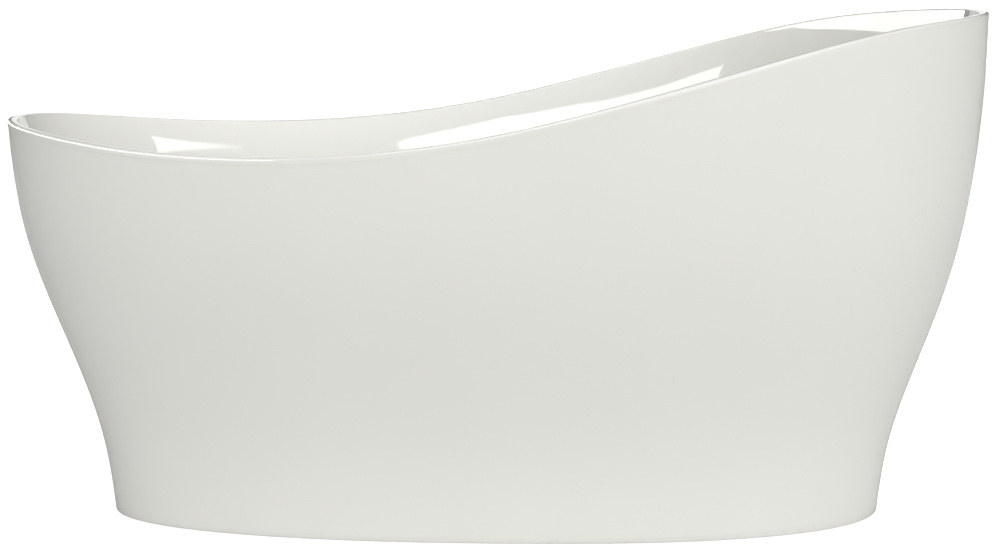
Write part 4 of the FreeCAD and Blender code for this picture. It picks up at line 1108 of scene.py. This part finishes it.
def make_world():
    """Studio bright straight above, with a glow from the front and a little to the right."""
    world = bpy.data.worlds.new("studio")
    SCENE.world = world
    world.use_nodes = True
    tree = world.node_tree
    coordinates = tree.nodes.new("ShaderNodeTexCoord")
    total = tree.nodes.new("ShaderNodeMath")
    total.operation = "ADD"
    parts = (((0.0, 0.0, 1.0), SKY_POWER, SKY_TOP), (GLOW_SIDE, GLOW_POWER, GLOW_STRENGTH))
    for index, (direction, power, strength) in enumerate(parts):
        toward = tree.nodes.new("ShaderNodeVectorMath")
        toward.operation = "DOT_PRODUCT"
        toward.inputs[1].default_value = direction
        tree.links.new(coordinates.outputs["Generated"], toward.inputs[0])
        above = tree.nodes.new("ShaderNodeMapRange")
        above.inputs["To Max"].default_value = 1.0
        tree.links.new(toward.outputs["Value"], above.inputs["Value"])
        curve = tree.nodes.new("ShaderNodeMath")
        curve.operation = "POWER"
        curve.inputs[1].default_value = power
        tree.links.new(above.outputs["Result"], curve.inputs[0])
        scaled = tree.nodes.new("ShaderNodeMath")
        scaled.operation = "MULTIPLY"
        scaled.inputs[1].default_value = strength
        tree.links.new(curve.outputs["Value"], scaled.inputs[0])
        tree.links.new(scaled.outputs["Value"], total.inputs[index])
    background = tree.nodes["Background"]
    background.inputs["Color"].default_value = (1.0, 1.0, 0.985, 1.0)
    tree.links.new(total.outputs["Value"], background.inputs["Strength"])


def make_floor(name, albedo, glow):
    half = 30.0
    corners = [(-half, -half, 0.0), (half, -half, 0.0), (half, half, 0.0), (-half, half, 0.0)]
    floor = add_mesh(name, corners, [(0, 1, 2, 3)])
    m = Nodes(name + "_white")
    m.set(Roughness=0.7, Specular_IOR_Level=0.0, Emission_Color=WHITE, Emission_Strength=glow)
    m.colour(m.ramp(m.noise(1.5), (0.0, (albedo - 0.01,) * 3), (1.0, (albedo + 0.01,) * 3)))
    floor.data.materials.append(m.material)
    return floor


def make_backdrop():
    """White sheet behind the floor's far edge, seen by the camera but kept out of the gloss."""
    far, half, top = 12.0, 30.0, 20.0
    corners = [(-half, far, -1.0), (half, far, -1.0), (half, far, top), (-half, far, top)]
    backdrop = add_mesh("backdrop", corners, [(0, 1, 2, 3)])
    m = Nodes("backdrop_white")
    m.set(Roughness=1.0, Specular_IOR_Level=0.0, Emission_Color=WHITE, Emission_Strength=BACKDROP_GLOW)
    backdrop.data.materials.append(m.material)
    backdrop.visible_glossy = False
    backdrop.visible_diffuse = False


def light_studio():
    """Sky, softboxes that give the reflections, and a floor whose look and bounce are set apart."""
    make_world()
    seen = make_floor("floor", FLOOR_ALBEDO, FLOOR_GLOW)
    seen.visible_diffuse = False
    seen.visible_glossy = False
    seen.visible_shadow = False
    bounce = make_floor("floor_bounce", BOUNCE_ALBEDO, 0.0)
    bounce.visible_camera = False
    bounce.visible_shadow = False
    make_backdrop()
    add_softbox("front_softbox_right", (-0.263, -3.0, 2.585), 0.402, 1.7, 30.8)
    add_softbox("front_softbox_left", (-0.503, -3.0, 2.565), 1.237, 1.5, -6.3)
    add_softbox("right_softbox", (2.609, -3.0, 3.632), 2.97, 1.2, 25.0)
    add_softbox("left_softbox", (-4.0, 0.7, 1.425), 15.4, 1.65, turn=-90, radiance=11.0)
    add_softbox("rim_softbox", (0.0, 11.5, 2.0), 6.8, 4.4, turn=180, radiance=1.0)
    fill = add_softbox("back_fill", (0.0, 5.0, 2.0), 3.0, 3.0, turn=180, radiance=6.0)
    fill.visible_diffuse = True
    fill.visible_glossy = False


def make_shells():
    """Skirt, and basin with its holes for the waste and the overflow."""
    drain_hole, overflow_hole = 24.0, 22.0
    basin = make_basin()
    combine(basin, bars_through([DRAIN], drain_hole, 120.0, 180.0, 96), "DIFFERENCE", 50)
    hole = Shape().add(prism(polygon(96, overflow_hole), -30.0, 30.0), OVERFLOW).piece("hole_tool")
    combine(basin, hole, "DIFFERENCE", 50)
    finish_piece(basin, "acrylic", "basin_shell")
    finish_piece(make_skirt(), "acrylic", "outer_skirt")


SCENE.view_settings.view_transform = "Standard"
make_camera()
make_shells()
make_bead()
make_dabs()
make_board()
make_frame()
make_rail_plugs()
make_brackets()
make_screws()
make_feet()
make_foot_nuts()
make_drain()
make_tee()
make_tailpiece()
make_stopper()
make_overflow_elbow()
make_overflow_ring()
make_overflow_cover()
finish_overflow_seals()
make_hose()
light_studio()
